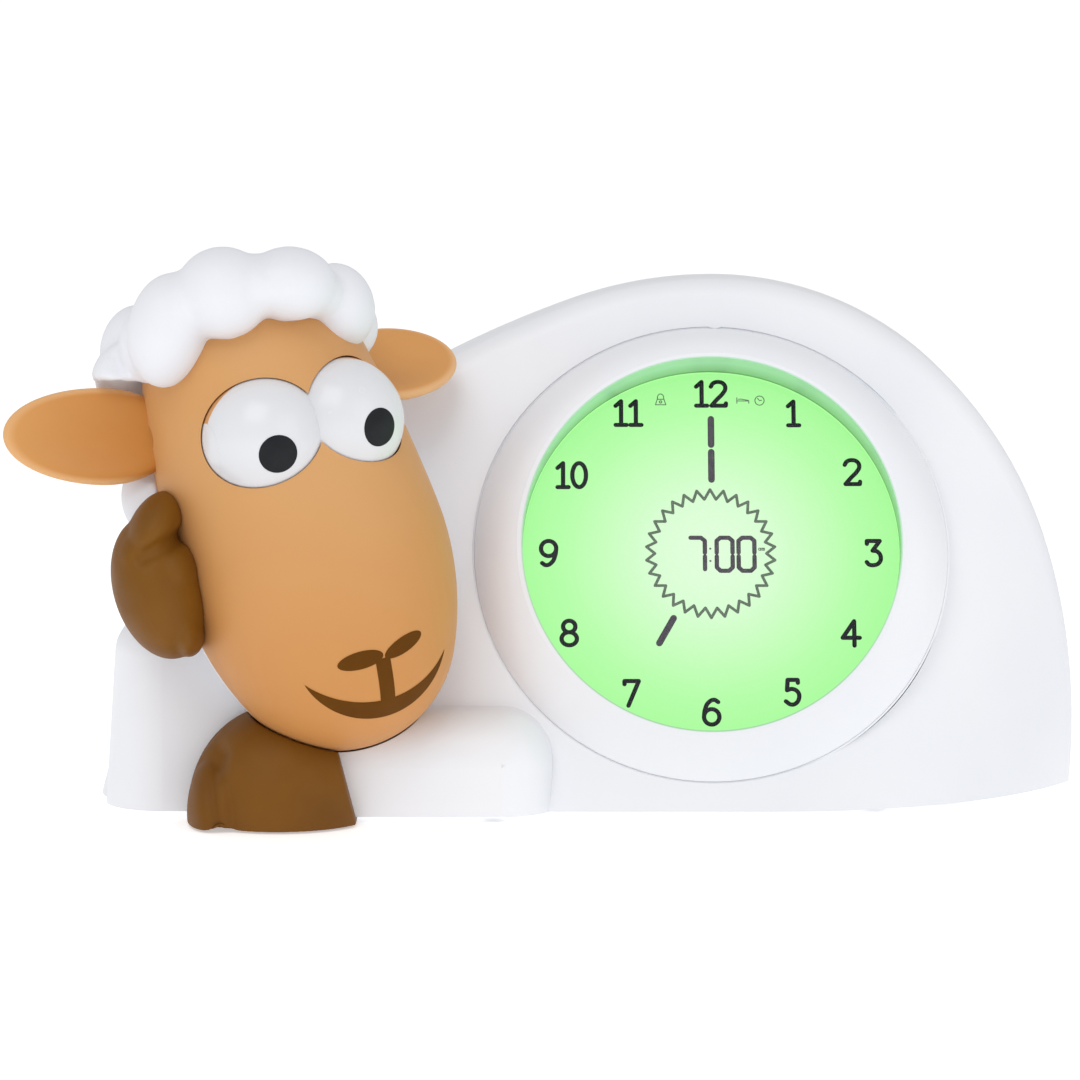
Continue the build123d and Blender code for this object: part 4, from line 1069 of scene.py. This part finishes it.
    def build(self) -> None:
        """Finishes the dial."""
        shop = self.workshop
        self.seal()
        shop.coat(self.glow(), "lcd_panel")
        shop.coat(self.collar(), "dial_bezel")
        shop.finish(Finish.CLEAR_WINDOW, "display_window")
        shop.finish(Finish.LIGHT_GUIDE, "diffuser", "light_box")
        shop.finish(Finish.LED_BODY, "backlight_leds")
        shop.finish(Finish.CONTACT_RUBBER, "contact_strip")
        shop.finish(Finish.CIRCUIT_BOARD, "main_board", "button_board")
        shop.finish(Finish.BLACK_PARTS, "board_components", "tact_switches", "dc_socket", "limit_switch")
        dark = self.ink_material("number_ink", (38, 38, 46), (44, 44, 52), 0.05)
        segment = self.ink_material("segment_ink", (84, 78, 88), (94, 88, 98), 0.15)
        pale = self.ink_material("pale_ink", (98, 112, 98), (106, 120, 106), 0.3)
        aside = (0.4, 0.0)
        for name, strokes, width, ink in (
            ("hour_numbers", self.numbers(), self.figure_pen, dark),
            ("minute_hand_outer", moved([self.spoke(0, 28.5, 35.3)], aside), self.hand_pen, segment),
            ("minute_hand_inner", moved([self.spoke(0, 19.3, 26.6)], aside), self.hand_pen, segment),
            ("hour_hand", [self.spoke(209.2, 19.2, 26.6)], self.hand_pen, segment),
            ("sun_ring", self.sun(), self.sun_pen, pale),
            ("digital_time", self.digital_time(), self.time_pen, segment),
            ("small_marks", self.small_marks(), self.sign_pen, pale),
            ("dial_signs", self.signs(), self.sign_pen, pale),
        ):
            self.mark(name, strokes, width, ink)


# ---------------------------------------------------------------- rear controls
@dataclass
class RearControls:
    """The buttons, battery bay and loudspeaker on the back."""

    workshop: Workshop
    lean: float = math.radians(8)
    pen: float = 0.5
    ink: float = 0.05

    def sign(self, button: str, strokes: Sequence[Stroke], size: float) -> None:
        """Prints a sign on a button's cap.

        Args:
            button: The button's node.
            strokes: The sign's strokes in millimetres, seen from behind the clock.
            size: How much the sign grows.
        """
        low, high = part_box(button)
        outward = Vector((0, math.cos(self.lean), math.sin(self.lean)))
        upward = Vector((0, -math.sin(self.lean), math.cos(self.lean)))
        across = Vector((-1, 0, 0))
        middle = (low + high) / 2
        crown = max((corner.co - middle).dot(outward) for corner in self.workshop.nodes[button].data.vertices)
        origin = middle + outward * crown
        turn = Matrix((across, upward, outward)).transposed().to_4x4()
        place = Matrix.Translation(origin) @ turn @ IN_MILLIMETRES
        mesh = Pen(self.pen, self.ink).draw(button + "_sign", moved(strokes, (0, 0), size), place)
        grey = self.workshop.palette[Finish.SIGN_GREY]
        new_object(button + "_sign", mesh, grey, button + "_body")

    def build(self) -> None:
        """Finishes the back."""
        shop = self.workshop
        shop.finish(Finish.INNER_PLASTIC, "battery_tray")
        shop.finish(Finish.CELLS, "batteries")
        shop.finish(Finish.CONTACTS, "battery_contacts")
        shop.finish(Finish.SPEAKER_STEEL, "speaker_frame", "speaker_magnet")
        shop.finish(Finish.SPEAKER_PAPER, "speaker_cone")
        for button, (strokes, size) in self.signs().items():
            shop.finish(Finish.WHITE_BUTTONS, button)
            self.sign(button, strokes, size)

    def signs(self) -> dict[str, tuple[list[Stroke], float]]:
        """Draws the buttons' signs.

        Returns:
            Each button's sign in millimetres, and how much it grows.
        """
        hands = [oval((0, 0), (2.0, 2.0)), Stroke(((0, 1.2), (0, 0), (0.9, 0)))]
        bell = [Stroke(((-1.9, -1.2), (-1.3, -0.4), (-1.1, 0.9), (0, 1.8),
                        (1.1, 0.9), (1.3, -0.4), (1.9, -1.2)), True),
                Stroke(((-1.9, -1.2), (1.9, -1.2))), oval((0, -1.9), (0.35, 0.3), 6)]
        sunrise = [Stroke(((-2.2, -1.0), (2.2, -1.0))),
                   Stroke(((-1.2, -1.0), (-0.9, 0.0), (0, 0.4), (0.9, 0.0), (1.2, -1.0)), True),
                   Stroke(((0, 1.1), (0, 2.0))),
                   Stroke(((-1.4, 0.7), (-2.0, 1.4))), Stroke(((1.4, 0.7), (2.0, 1.4)))]
        bulb = [Stroke(((-0.6, -1.0), (-0.8, -0.3), (-1.4, 0.7), (-0.8, 1.8),
                        (0.8, 1.8), (1.4, 0.7), (0.8, -0.3), (0.6, -1.0)), True),
                Stroke(((-0.6, -1.5), (0.6, -1.5))), Stroke(((-0.35, -2.1), (0.35, -2.1)))]
        moon = [Stroke(((0.9, 2.0), (-1.0, 1.5), (-1.9, 0.0), (-1.0, -1.5), (0.9, -2.0),
                        (-0.2, -0.9), (-0.5, 0.0), (-0.2, 0.9), (0.9, 2.0)), True)]
        minus = Stroke(((-1.6, 0), (1.6, 0)))
        upright = Stroke(((0, -1.6), (0, 1.6)))
        return {
            "time_button": (hands, 1.0),
            "alarm_button": (bell, 1.0),
            "wake_button": (sunrise, 1.0),
            "light_button": (bulb, 1.0),
            "minus_button": ([minus], 1.0),
            "plus_button": ([minus, upright], 1.0),
            "night_light_button": (moon, 2.0),
        }


# ---------------------------------------------------------------- sheep
@dataclass(frozen=True)
class Pillow:
    """A plump egg-shaped form, in millimetres: its centre, its half sizes and its turn in the front view."""

    centre: Sequence[float]
    halves: Sequence[float]
    turn: float = 0.0

    def place(self) -> Matrix:
        """Gives the matrix that turns the unit ball into the pillow."""
        where = Matrix.Translation(Vector(self.centre) * MILLIMETRE)
        size = Matrix.Diagonal([half * MILLIMETRE for half in self.halves]).to_4x4()
        return where @ Matrix.Rotation(math.radians(self.turn), 4, "Y") @ size


@dataclass(frozen=True)
class Fold:
    """A soft groove across a moulded form, followed in the front view, in millimetres."""

    path: Sequence[Point]
    depth: float
    width: float
    facing: float = 0.1

    def nearness(self, x: float, z: float) -> float:
        """Tells how deep in the groove a point lies.

        Args:
            x: The point's place across the front view, in millimetres.
            z: Its height.

        Returns:
            0 well outside the groove and 1 on its path.
        """
        point = Vector((x, z))
        best = math.inf
        for start, end in zip(self.path, self.path[1:]):
            run = Vector(end) - Vector(start)
            along = max(0.0, min(1.0, (point - Vector(start)).dot(run) / run.length_squared))
            best = min(best, (point - Vector(start) - run * along).length)
        return math.exp(-((best / self.width) ** 2))

    def press(self, mesh: bpy.types.Mesh) -> None:
        """Presses the groove into the front of a mesh, where its normals lean no further back than `facing`.

        Args:
            mesh: The mesh to press.
        """
        normals = [vertex.normal.copy() for vertex in mesh.vertices]
        for vertex, normal in zip(mesh.vertices, normals):
            if normal.y < self.facing:
                depth = self.depth * self.nearness(vertex.co.x / MILLIMETRE, vertex.co.z / MILLIMETRE)
                vertex.co -= normal * depth * MILLIMETRE


@dataclass
class Head:
    """The head's own frame, and its skin."""

    centre: Vector = field(default_factory=lambda: Vector((-61.784, -32.355, 76.4)) * MILLIMETRE)
    lean: float = math.radians(-16)
    yaw: float = math.radians(23)
    pitch: float = math.radians(-5)
    far: float = 0.09

    def __post_init__(self) -> None:
        """Works out the frame's matrix."""
        turn = Matrix.Rotation(self.lean, 4, "Y") @ Matrix.Rotation(self.yaw, 4, "Z")
        turn = turn @ Matrix.Rotation(self.pitch, 4, "X")
        self.frame = Matrix.Translation(self.centre) @ turn

    def keep_clear(self, mesh: bpy.types.Mesh, skin: bpy.types.Object, gap: float) -> None:
        """Presses a mesh off the head's skin so that the two only just miss each other.

        Args:
            mesh: The mesh to press.
            skin: The node whose outside it rests against.
            gap: The space left between them in metres.
        """
        work = frame_copy(skin)
        tree = BVHTree.FromBMesh(work)
        work.free()
        back = self.frame.inverted()
        for vertex in mesh.vertices:
            own = back @ vertex.co
            outward = Vector((own.x, own.y, 0))
            reach = outward.length
            outward.normalize()
            start = self.frame @ (outward * self.far + Vector((0, 0, own.z)))
            hit = tree.ray_cast(start, self.frame.to_3x3() @ -outward, self.far)
            if hit[0] is not None and reach < self.far - hit[3] + gap:
                vertex.co = self.frame @ (outward * (self.far - hit[3] + gap) + Vector((0, 0, own.z)))


@dataclass
class Wool:
    """The curly cap: a row of plump lobes over the brow, and the white back of the head."""

    workshop: Workshop
    head: Head
    lobes: Sequence[Pillow] = (
        Pillow((-101.6, -25.5, 114.9), (8.0, 10.0, 10.6), 14.0),
        Pillow((-91.2, -49.0, 120.9), (9.6, 12.0, 13.9), 9.0),
        Pillow((-77.9, -52.0, 130.1), (11.4, 12.0, 11.0)),
        Pillow((-62.0, -48.5, 132.0), (11.0, 12.0, 8.9), 4.0),
        Pillow((-51.3, -34.0, 125.5), (8.9, 12.0, 10.7), -15.0),
        Pillow((-96.2, -41.0, 117.0), (7.4, 10.0, 9.7)),
        Pillow((-86.0, -50.0, 127.0), (9.0, 11.0, 8.6)),
        Pillow((-70.0, -50.0, 131.6), (8.5, 11.0, 7.7)),
        Pillow((-56.5, -42.0, 129.2), (7.5, 10.5, 6.3)),
        Pillow((-92.0, -32.5, 119.5), (10.5, 12.0, 11.0)),
        Pillow((-79.0, -34.0, 126.0), (11.5, 13.0, 10.0)),
        Pillow((-64.5, -31.0, 126.5), (11.5, 12.0, 9.8)),
        Pillow((-52.0, -21.5, 119.5), (10.0, 11.0, 9.5)))
    crown: Vector = field(default_factory=lambda: Vector((0, 0, 30.3)) * MILLIMETRE)
    skull: float = 28.1 * MILLIMETRE
    sunk: float = 26.9 * MILLIMETRE
    deeper: float = 0.0002
    ear_bed: float = -29.5 * MILLIMETRE
    brow_back: float = 0.0055
    brow_low: float = 0.028
    slack: float = 0.0003
    ear_side: float = -0.092
    ear_band: Point = (0.094, 0.108)
    tuft_ring: float = 25.3
    tuft_radius: float = 9.5
    tuft_slope: float = 0.38
    tuft_top: float = 53.3
    tuft_pair: float = 6.5
    tuft_shift: Point = (-3.2, 1.3)
    old_tufts: Sequence[float] = (208.5, 248.5, 288.5, 328.5)
    voxel: float = 0.0008
    relax: int = 11

    def old_balls(self) -> list[Vector]:
        """Finds the frame's brow tufts.

        Returns:
            The centres of their balls, in the head's frame.
        """
        balls = []
        for turn in self.old_tufts:
            rise = self.tuft_ring * math.sin(math.radians(turn)) + self.tuft_ring
            height = self.tuft_top - self.tuft_slope * rise
            for half in (-self.tuft_pair, self.tuft_pair):
                angle = math.radians(turn + half)
                across = self.tuft_ring * math.cos(angle) + self.tuft_shift[0]
                along = self.tuft_ring * math.sin(angle) + self.tuft_shift[1]
                balls.append(Vector((across, along, height)) * MILLIMETRE)
        return balls

    def build(self) -> None:
        """Makes the cap and the back of the head as one skin.

        The frame's own tufts and the bare brow between them are sunk first, so that only the lobes show,
        and the form in front of the left ear is set back.
        """
        work = frame_copy(self.workshop.nodes["fleece_shell"])
        back = self.head.frame.inverted()
        balls = self.old_balls()
        radius = self.tuft_radius * MILLIMETRE
        for vertex in work.verts:
            own = back @ vertex.co
            tuft = any(abs((own - ball).length - radius) < self.slack for ball in balls)
            bare = abs((own - self.crown).length - self.skull) < self.slack
            under = own.y < self.brow_back and own.z > self.brow_low and bare
            if tuft or under:
                depth = self.sunk if tuft else self.sunk - self.deeper
                own = self.crown + (own - self.crown).normalized() * depth
                vertex.co = self.head.frame @ own
            if vertex.co.x < self.ear_side and self.ear_band[0] < vertex.co.z < self.ear_band[1]:
                vertex.co.y = max(vertex.co.y, self.ear_bed)
        for lobe in self.lobes:
            add_blob(work, lobe.place())
        mesh = remeshed(work, "wool", self.voxel, self.relax)
        piece = new_object("wool", mesh, self.workshop.palette[Finish.FLEECE], "clock")
        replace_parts(piece, "fleece_shell")


@dataclass
class Hooves:
    """The cloven hoof that props the cheek and the one that rests on the table."""

    workshop: Workshop
    head: Head
    raised: Sequence[Pillow] = (
        Pillow((-93.9, -46.5, 58.7), (11.2, 18.0, 17.7), -16.0),
        Pillow((-94.9, -46.5, 72.4), (6.5, 16.0, 10.2), 25.0),
        Pillow((-98.3, -46.0, 66.8), (6.4, 15.5, 8.6), 16.0),
        Pillow((-86.8, -47.0, 48.7), (4.0, 14.0, 6.6)),
        Pillow((-89.9, -49.5, 63.6), (6.0, 13.0, 7.8), -10.0))
    raised_back: float = -29.5 * MILLIMETRE
    raised_fold: Fold = Fold(((-85.5, 73.2), (-89.9, 71.6), (-93.1, 70.4), (-97.0, 67.8)), 1.1, 1.9)
    front_fold: Fold = Fold(((-80.2, 18.0), (-81.9, 11.5), (-81.4, 7.3), (-79.4, 0.5)), 1.9, 2.3)
    cheek_gap: float = 0.0003
    voxel: float = 0.0005
    relax: int = 16
    front_relax: int = 2

    def build(self) -> None:
        """Makes both hooves."""
        material = self.workshop.palette[Finish.BROWN_HOOF]
        work = bmesh.new()
        for pillow in self.raised:
            add_blob(work, pillow.place())
        mesh = remeshed(work, "raised_paw", self.voxel, self.relax)
        for vertex in mesh.vertices:
            vertex.co.y = min(vertex.co.y, self.raised_back)
        self.raised_fold.press(mesh)
        self.head.keep_clear(mesh, self.workshop.nodes["face_shell"], self.cheek_gap)
        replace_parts(new_object("raised_paw", mesh, material, "clock"), "raised_hoof")
        work = frame_copy(self.workshop.nodes["front_hoof"])
        mesh = remeshed(work, "front_paw", self.voxel, self.front_relax)
        self.front_fold.press(mesh)
        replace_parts(new_object("front_paw", mesh, material, "clock"), "front_hoof")


@dataclass
class Ear:
    """One leaf-shaped ear with a soft rim around its hollow."""

    workshop: Workshop
    head: Head
    name: str
    root: Sequence[float]
    along: Sequence[float]
    face: Sequence[float]
    length: float
    tip_half: float
    fullness: float
    root_half: float
    thick: float = 3.7
    dish: float = 4.6
    dish_curve: float = 1.6
    rim: float = 0.955
    fineness: int = 6
    patch: float = 0.012
    # Painted light: a pale painted highlight along the rim and the tip, and a deep colour of painted shade
    # towards the root.
    rim_fade: Point = (0.84, 0.97)
    root_fade: Point = (-0.7, 0.9)
    pale: Rgb = (225, 172, 116)
    deep: Rgb = (190, 118, 38)

    def build(self) -> None:
        """Makes the ear."""
        work = bmesh.new()
        bmesh.ops.create_icosphere(work, subdivisions=self.fineness, radius=1.0)
        for vertex in work.verts:
            across = math.hypot(vertex.co.x, vertex.co.y)
            height = vertex.co.z * self.thick
            if vertex.co.z > 0 and across < self.rim:
                height -= self.dish * (1 - (across / self.rim) ** 2) ** self.dish_curve
            half = self.tip_half if vertex.co.x > 0 else self.root_half
            vertex.co = (vertex.co.x * half, vertex.co.y * self.fullness, height)
        along = Vector(self.along).normalized()
        face = Vector(self.face)
        face = (face - along * face.dot(along)).normalized()
        turn = Matrix((along, face.cross(along), face)).transposed().to_4x4()
        middle = Vector(self.root) + along * (self.length - self.tip_half)
        place = self.head.frame @ IN_MILLIMETRES @ Matrix.Translation(middle) @ turn
        bmesh.ops.transform(work, matrix=place, verts=work.verts)
        mesh = settled(work, self.name + "_leaf", smooth=True)
        piece = new_object(self.name + "_leaf", mesh, self.skin(place), "clock")
        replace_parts(piece, self.name)

    def skin(self, place: Matrix) -> bpy.types.Material:
        """Builds the ear's tan with painted light: a painted highlight along the rim and the tip, and painted
        shade in the hollow, deepest at the root.

        Args:
            place: The ear's place, which takes its own millimetres to the scene.

        Returns:
            The material.
        """
        recipe = Recipe(self.name + "_tan")
        tan: Moulding = Finish.TAN_EAR.value
        middle, turn, _ = place.decompose()
        there = recipe.framed(middle, turn.to_euler(), MILLIMETRES)
        weights = (1 / self.tip_half, 1 / self.fullness, 0)
        # Painted highlight: the rim and the tip turn pale.
        hollow = recipe.span(recipe.reach(there, weights), self.rim_fade, (1.0, 0.0), smooth=True)
        split = recipe.add("ShaderNodeSeparateXYZ")
        recipe.link(there, split.inputs["Vector"])
        # Painted shade: the hollow deepens towards the root.
        reach = (self.root_fade[0] * self.root_half, self.root_fade[1] * self.tip_half)
        root = recipe.span(split.outputs["X"], reach, (0.9, 0.0))
        deep = recipe.mix(root, tan.base(recipe), self.deep)
        recipe.feed(recipe.mix(hollow, self.pale, deep), "Base Color")
        tan.texture(recipe, self.patch)
        recipe.set(Specular_IOR_Level=tan.gloss)
        return recipe.material


@dataclass
class Eyes:
    """The rolling eyes: the frame's balls, with skirts below them and caps over their ends."""

    workshop: Workshop
    head: Head
    place: Sequence[float] = (1.3, -19.5, 17.7)
    tilt: float = math.radians(5)
    spacing: float = 9.7
    radius: float = 15.3
    wall: float = 1.5
    start: float = math.radians(-61.9)
    end: float = math.radians(-96.0)
    skirt_span: Point = (0.8, 92)
    skirt_steps: int = 12
    skirt_turns: int = 16
    cap_span: Point = (1, 24)
    cap_steps: int = 8
    cap_turns: int = 72
    cap_wall: float = 0.4
    cap_rise: float = 0.12
    cap_fade: float = 0.01

    def rounds(self, wall: float, steps: int) -> Sequence[tuple[float, range]]:
        """Gives the outer and inner radius of a wall, and the steps along each, out and back."""
        return ((self.radius, range(steps + 1)), (self.radius - wall, range(steps, -1, -1)))

    def skirt(self, side: int) -> None:
        """Makes one skirt: a slice of the ball's skin, spun about the eyes' shaft.

        Args:
            side: -1 for the left ball and 1 for the right.
        """
        work = bmesh.new()
        rim = []
        first, last = self.skirt_span
        for radius, steps in self.rounds(self.wall, self.skirt_steps):
            for step in steps:
                angle = math.radians(first + (last - first) * step / self.skirt_steps)
                reach = radius * math.sin(angle)
                rim.append(work.verts.new((side * (self.spacing + radius * math.cos(angle)),
                                           -reach * math.cos(self.start), reach * math.sin(self.start))))
        profile = work.faces.new(rim)
        sweep = -(self.end - self.start)
        bmesh.ops.spin(work, geom=[profile], cent=(0, 0, 0), axis=(1, 0, 0), angle=sweep,
                       steps=self.skirt_turns)
        self.add(work, "skirt", side)

    def cap(self, side: int) -> None:
        """Makes the round white cap over the end of one ball.

        Args:
            side: -1 for the left ball and 1 for the right.
        """
        work = bmesh.new()
        rim = []
        first, last = self.cap_span
        for radius, steps in self.rounds(self.cap_wall, self.cap_steps):
            for step in steps:
                angle = math.radians(first + (last - first) * step / self.cap_steps)
                skin = radius + self.cap_rise - self.cap_fade * step
                across = side * (self.spacing + skin * math.cos(angle))
                rim.append(work.verts.new((across, skin * math.sin(angle), 0)))
        profile = work.faces.new(rim)
        bmesh.ops.spin(work, geom=[profile], cent=(0, 0, 0), axis=(1, 0, 0), angle=math.tau,
                       steps=self.cap_turns, use_merge=True)
        self.add(work, "cap", side)

    def add(self, work: bmesh.types.BMesh, kind: str, side: int) -> None:
        """Puts a form made in the eyes' own millimetres on the roller.

        Args:
            work: The form.
            kind: What it is.
            side: -1 for the left ball and 1 for the right.
        """
        origin = self.head.frame @ IN_MILLIMETRES @ Matrix.Translation(self.place)
        bmesh.ops.transform(work, matrix=origin @ Matrix.Rotation(self.tilt, 4, "Y"), verts=work.verts)
        bmesh.ops.remove_doubles(work, verts=work.verts, dist=SPIN_MERGE)
        name = ("left" if side < 0 else "right") + "_eye_" + kind
        mesh = settled(work, name)
        new_object(name, mesh, self.workshop.palette[Finish.EYE_WHITE], "eye_roller")

    def build(self) -> None:
        """Finishes the eyes and their drive."""
        finish = self.workshop.finish
        finish(Finish.EYE_WHITE, "eyes")
        finish(Finish.PUPIL_BLACK, "left_pupil", "right_pupil")
        finish(Finish.TAN_LID, "eyelids")
        finish(Finish.PINS, "eye_shaft", "idler_pin")
        finish(Finish.GEARS, "eye_gear", "idler_gear", "motor_pinion")
        finish(Finish.MOTOR_CAN, "eye_motor")
        finish(Finish.INNER_PLASTIC, "eye_bracket")
        for side in (-1, 1):
            self.skirt(side)
            self.cap(side)


@dataclass
class Sheep:
    """The sheep: its face, and the ears, wool, hooves and rolling eyes."""

    workshop: Workshop
    head: Head = field(default_factory=Head)

    def build(self) -> None:
        """Finishes the sheep."""
        shop, head = self.workshop, self.head
        shop.finish(Finish.TAN_FACE, "face_shell")
        shop.finish(Finish.TAN_EAR, "left_ear", "right_ear")
        shop.finish(Finish.FLEECE, "fleece_shell")
        shop.finish(Finish.BROWN_HOOF, "raised_hoof", "front_hoof")
        shop.finish(Finish.BROWN_INLAY, "nose_and_mouth")
        Wool(shop, head).build()
        Hooves(shop, head).build()
        Ear(shop, head, "left_ear", root=(-26.5, 2.0, 26.0), along=(-0.841, 0.439, 0.334),
            face=(-0.33, -0.927, 0.109), length=38.8, tip_half=24.6, fullness=11.8, root_half=18.0).build()
        # The right ear's painted highlight and painted shade are softer than the left's.
        Ear(shop, head, "right_ear", root=(25.5, 4.0, 27.6), along=(0.917, 0.362, -0.09),
            face=(-0.25, -0.84, 0.48), length=34.0, tip_half=22.0, fullness=11.4, root_half=16.0,
            pale=(229, 180, 128), deep=(212, 154, 92)).build()
        Eyes(shop, head).build()


# ---------------------------------------------------------------- studio
@dataclass
class Studio:
    """The floor, the soft lights and the camera."""

    aim: Vector = field(default_factory=lambda: Vector((-2.534, 13.645, 62.8)) * MILLIMETRE)
    distance: float = 1.2
    height_angle: float = math.radians(7)
    lens: float = 158.08
    sensor: float = 36.0
    far_clip: float = 100.0
    floor_reach: float = 30.0
    floor_drop: float = 0.0002
    floor_patch: float = 0.5
    floor_glow: float = 0.43
    sky_strength: float = 0.66
    lamps: Sequence[tuple[str, Sequence[float], float, float]] = (
        ("key_light", (-0.5, -1.2, 1.6), 1.2, 9.0),
        ("fill_light", (1.3, -1.2, 0.8), 1.2, 3.0))

    def floor(self) -> None:
        """Lays a wide pale floor."""
        work = bmesh.new()
        bmesh.ops.create_grid(work, x_segments=8, y_segments=8, size=self.floor_reach)
        bmesh.ops.translate(work, verts=work.verts, vec=(0, 0, -self.floor_drop))
        mesh = bpy.data.meshes.new("studio_floor")
        work.to_mesh(mesh)
        work.free()
        recipe = Recipe("studio_floor")
        pale = recipe.ramp(recipe.noise(self.floor_patch), [(0.3, (247, 248, 249)), (0.7, (244, 245, 247))])
        recipe.feed(pale, "Base Color")
        recipe.set(Roughness=0.75, Emission_Color=(1.0, 1.0, 1.0, 1.0), Emission_Strength=self.floor_glow)
        mesh.materials.append(recipe.material)
        floor = placed("studio_floor", mesh)

    def sky(self) -> None:
        """Surrounds the studio with an even pale light."""
        world = bpy.data.worlds.new("studio_sky")
        world.use_nodes = True
        backing = world.node_tree.nodes["Background"]
        backing.inputs["Color"].default_value = (1.0, 1.0, 1.0, 1.0)
        backing.inputs["Strength"].default_value = self.sky_strength
        bpy.context.scene.world = world

    def lamp(self, name: str, place: Sequence[float], size: float, power: float) -> None:
        """Hangs a square soft light that faces the clock.

        Args:
            name: The light's name.
            place: Where it hangs.
            size: The side of the square.
            power: Its power in watts.
        """
        data = bpy.data.lights.new(name, "AREA")
        data.shape = "SQUARE"
        data.size = size
        data.energy = power
        lamp = placed(name, data)
        lamp.location = place
        lamp.rotation_euler = (self.aim - Vector(place)).to_track_quat("-Z", "Y").to_euler()

    def camera(self) -> None:
        """Sets the camera in front of the clock, a little above it."""
        data = bpy.data.cameras.new("camera")
        data.lens = self.lens
        data.sensor_width = self.sensor
        data.clip_end = self.far_clip
        camera = placed("camera", data)
        outward = Vector((0, -math.cos(self.height_angle), math.sin(self.height_angle)))
        camera.location = self.aim + outward * self.distance
        camera.rotation_euler = (math.pi / 2 - self.height_angle, 0, 0)
        bpy.context.scene.camera = camera

    def build(self) -> None:
        """Sets up the studio."""
        self.camera()
        self.floor()
        self.sky()
        for name, place, size, power in self.lamps:
            self.lamp(name, place, size, power)
        bpy.context.scene.view_settings.view_transform = "Standard"


def main() -> None:
    """Loads the frame and dresses it, part by part."""
    logging.basicConfig(level=logging.INFO, format="%(name)s: %(message)s")
    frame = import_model()
    workshop = Workshop(frame["nodes"])
    for part in (Studio(), Casing(workshop), Dial(workshop), RearControls(workshop), Sheep(workshop)):
        part.build()
        LOG.info("%s done", type(part).__name__)


if __name__ == "__main__":
    main()
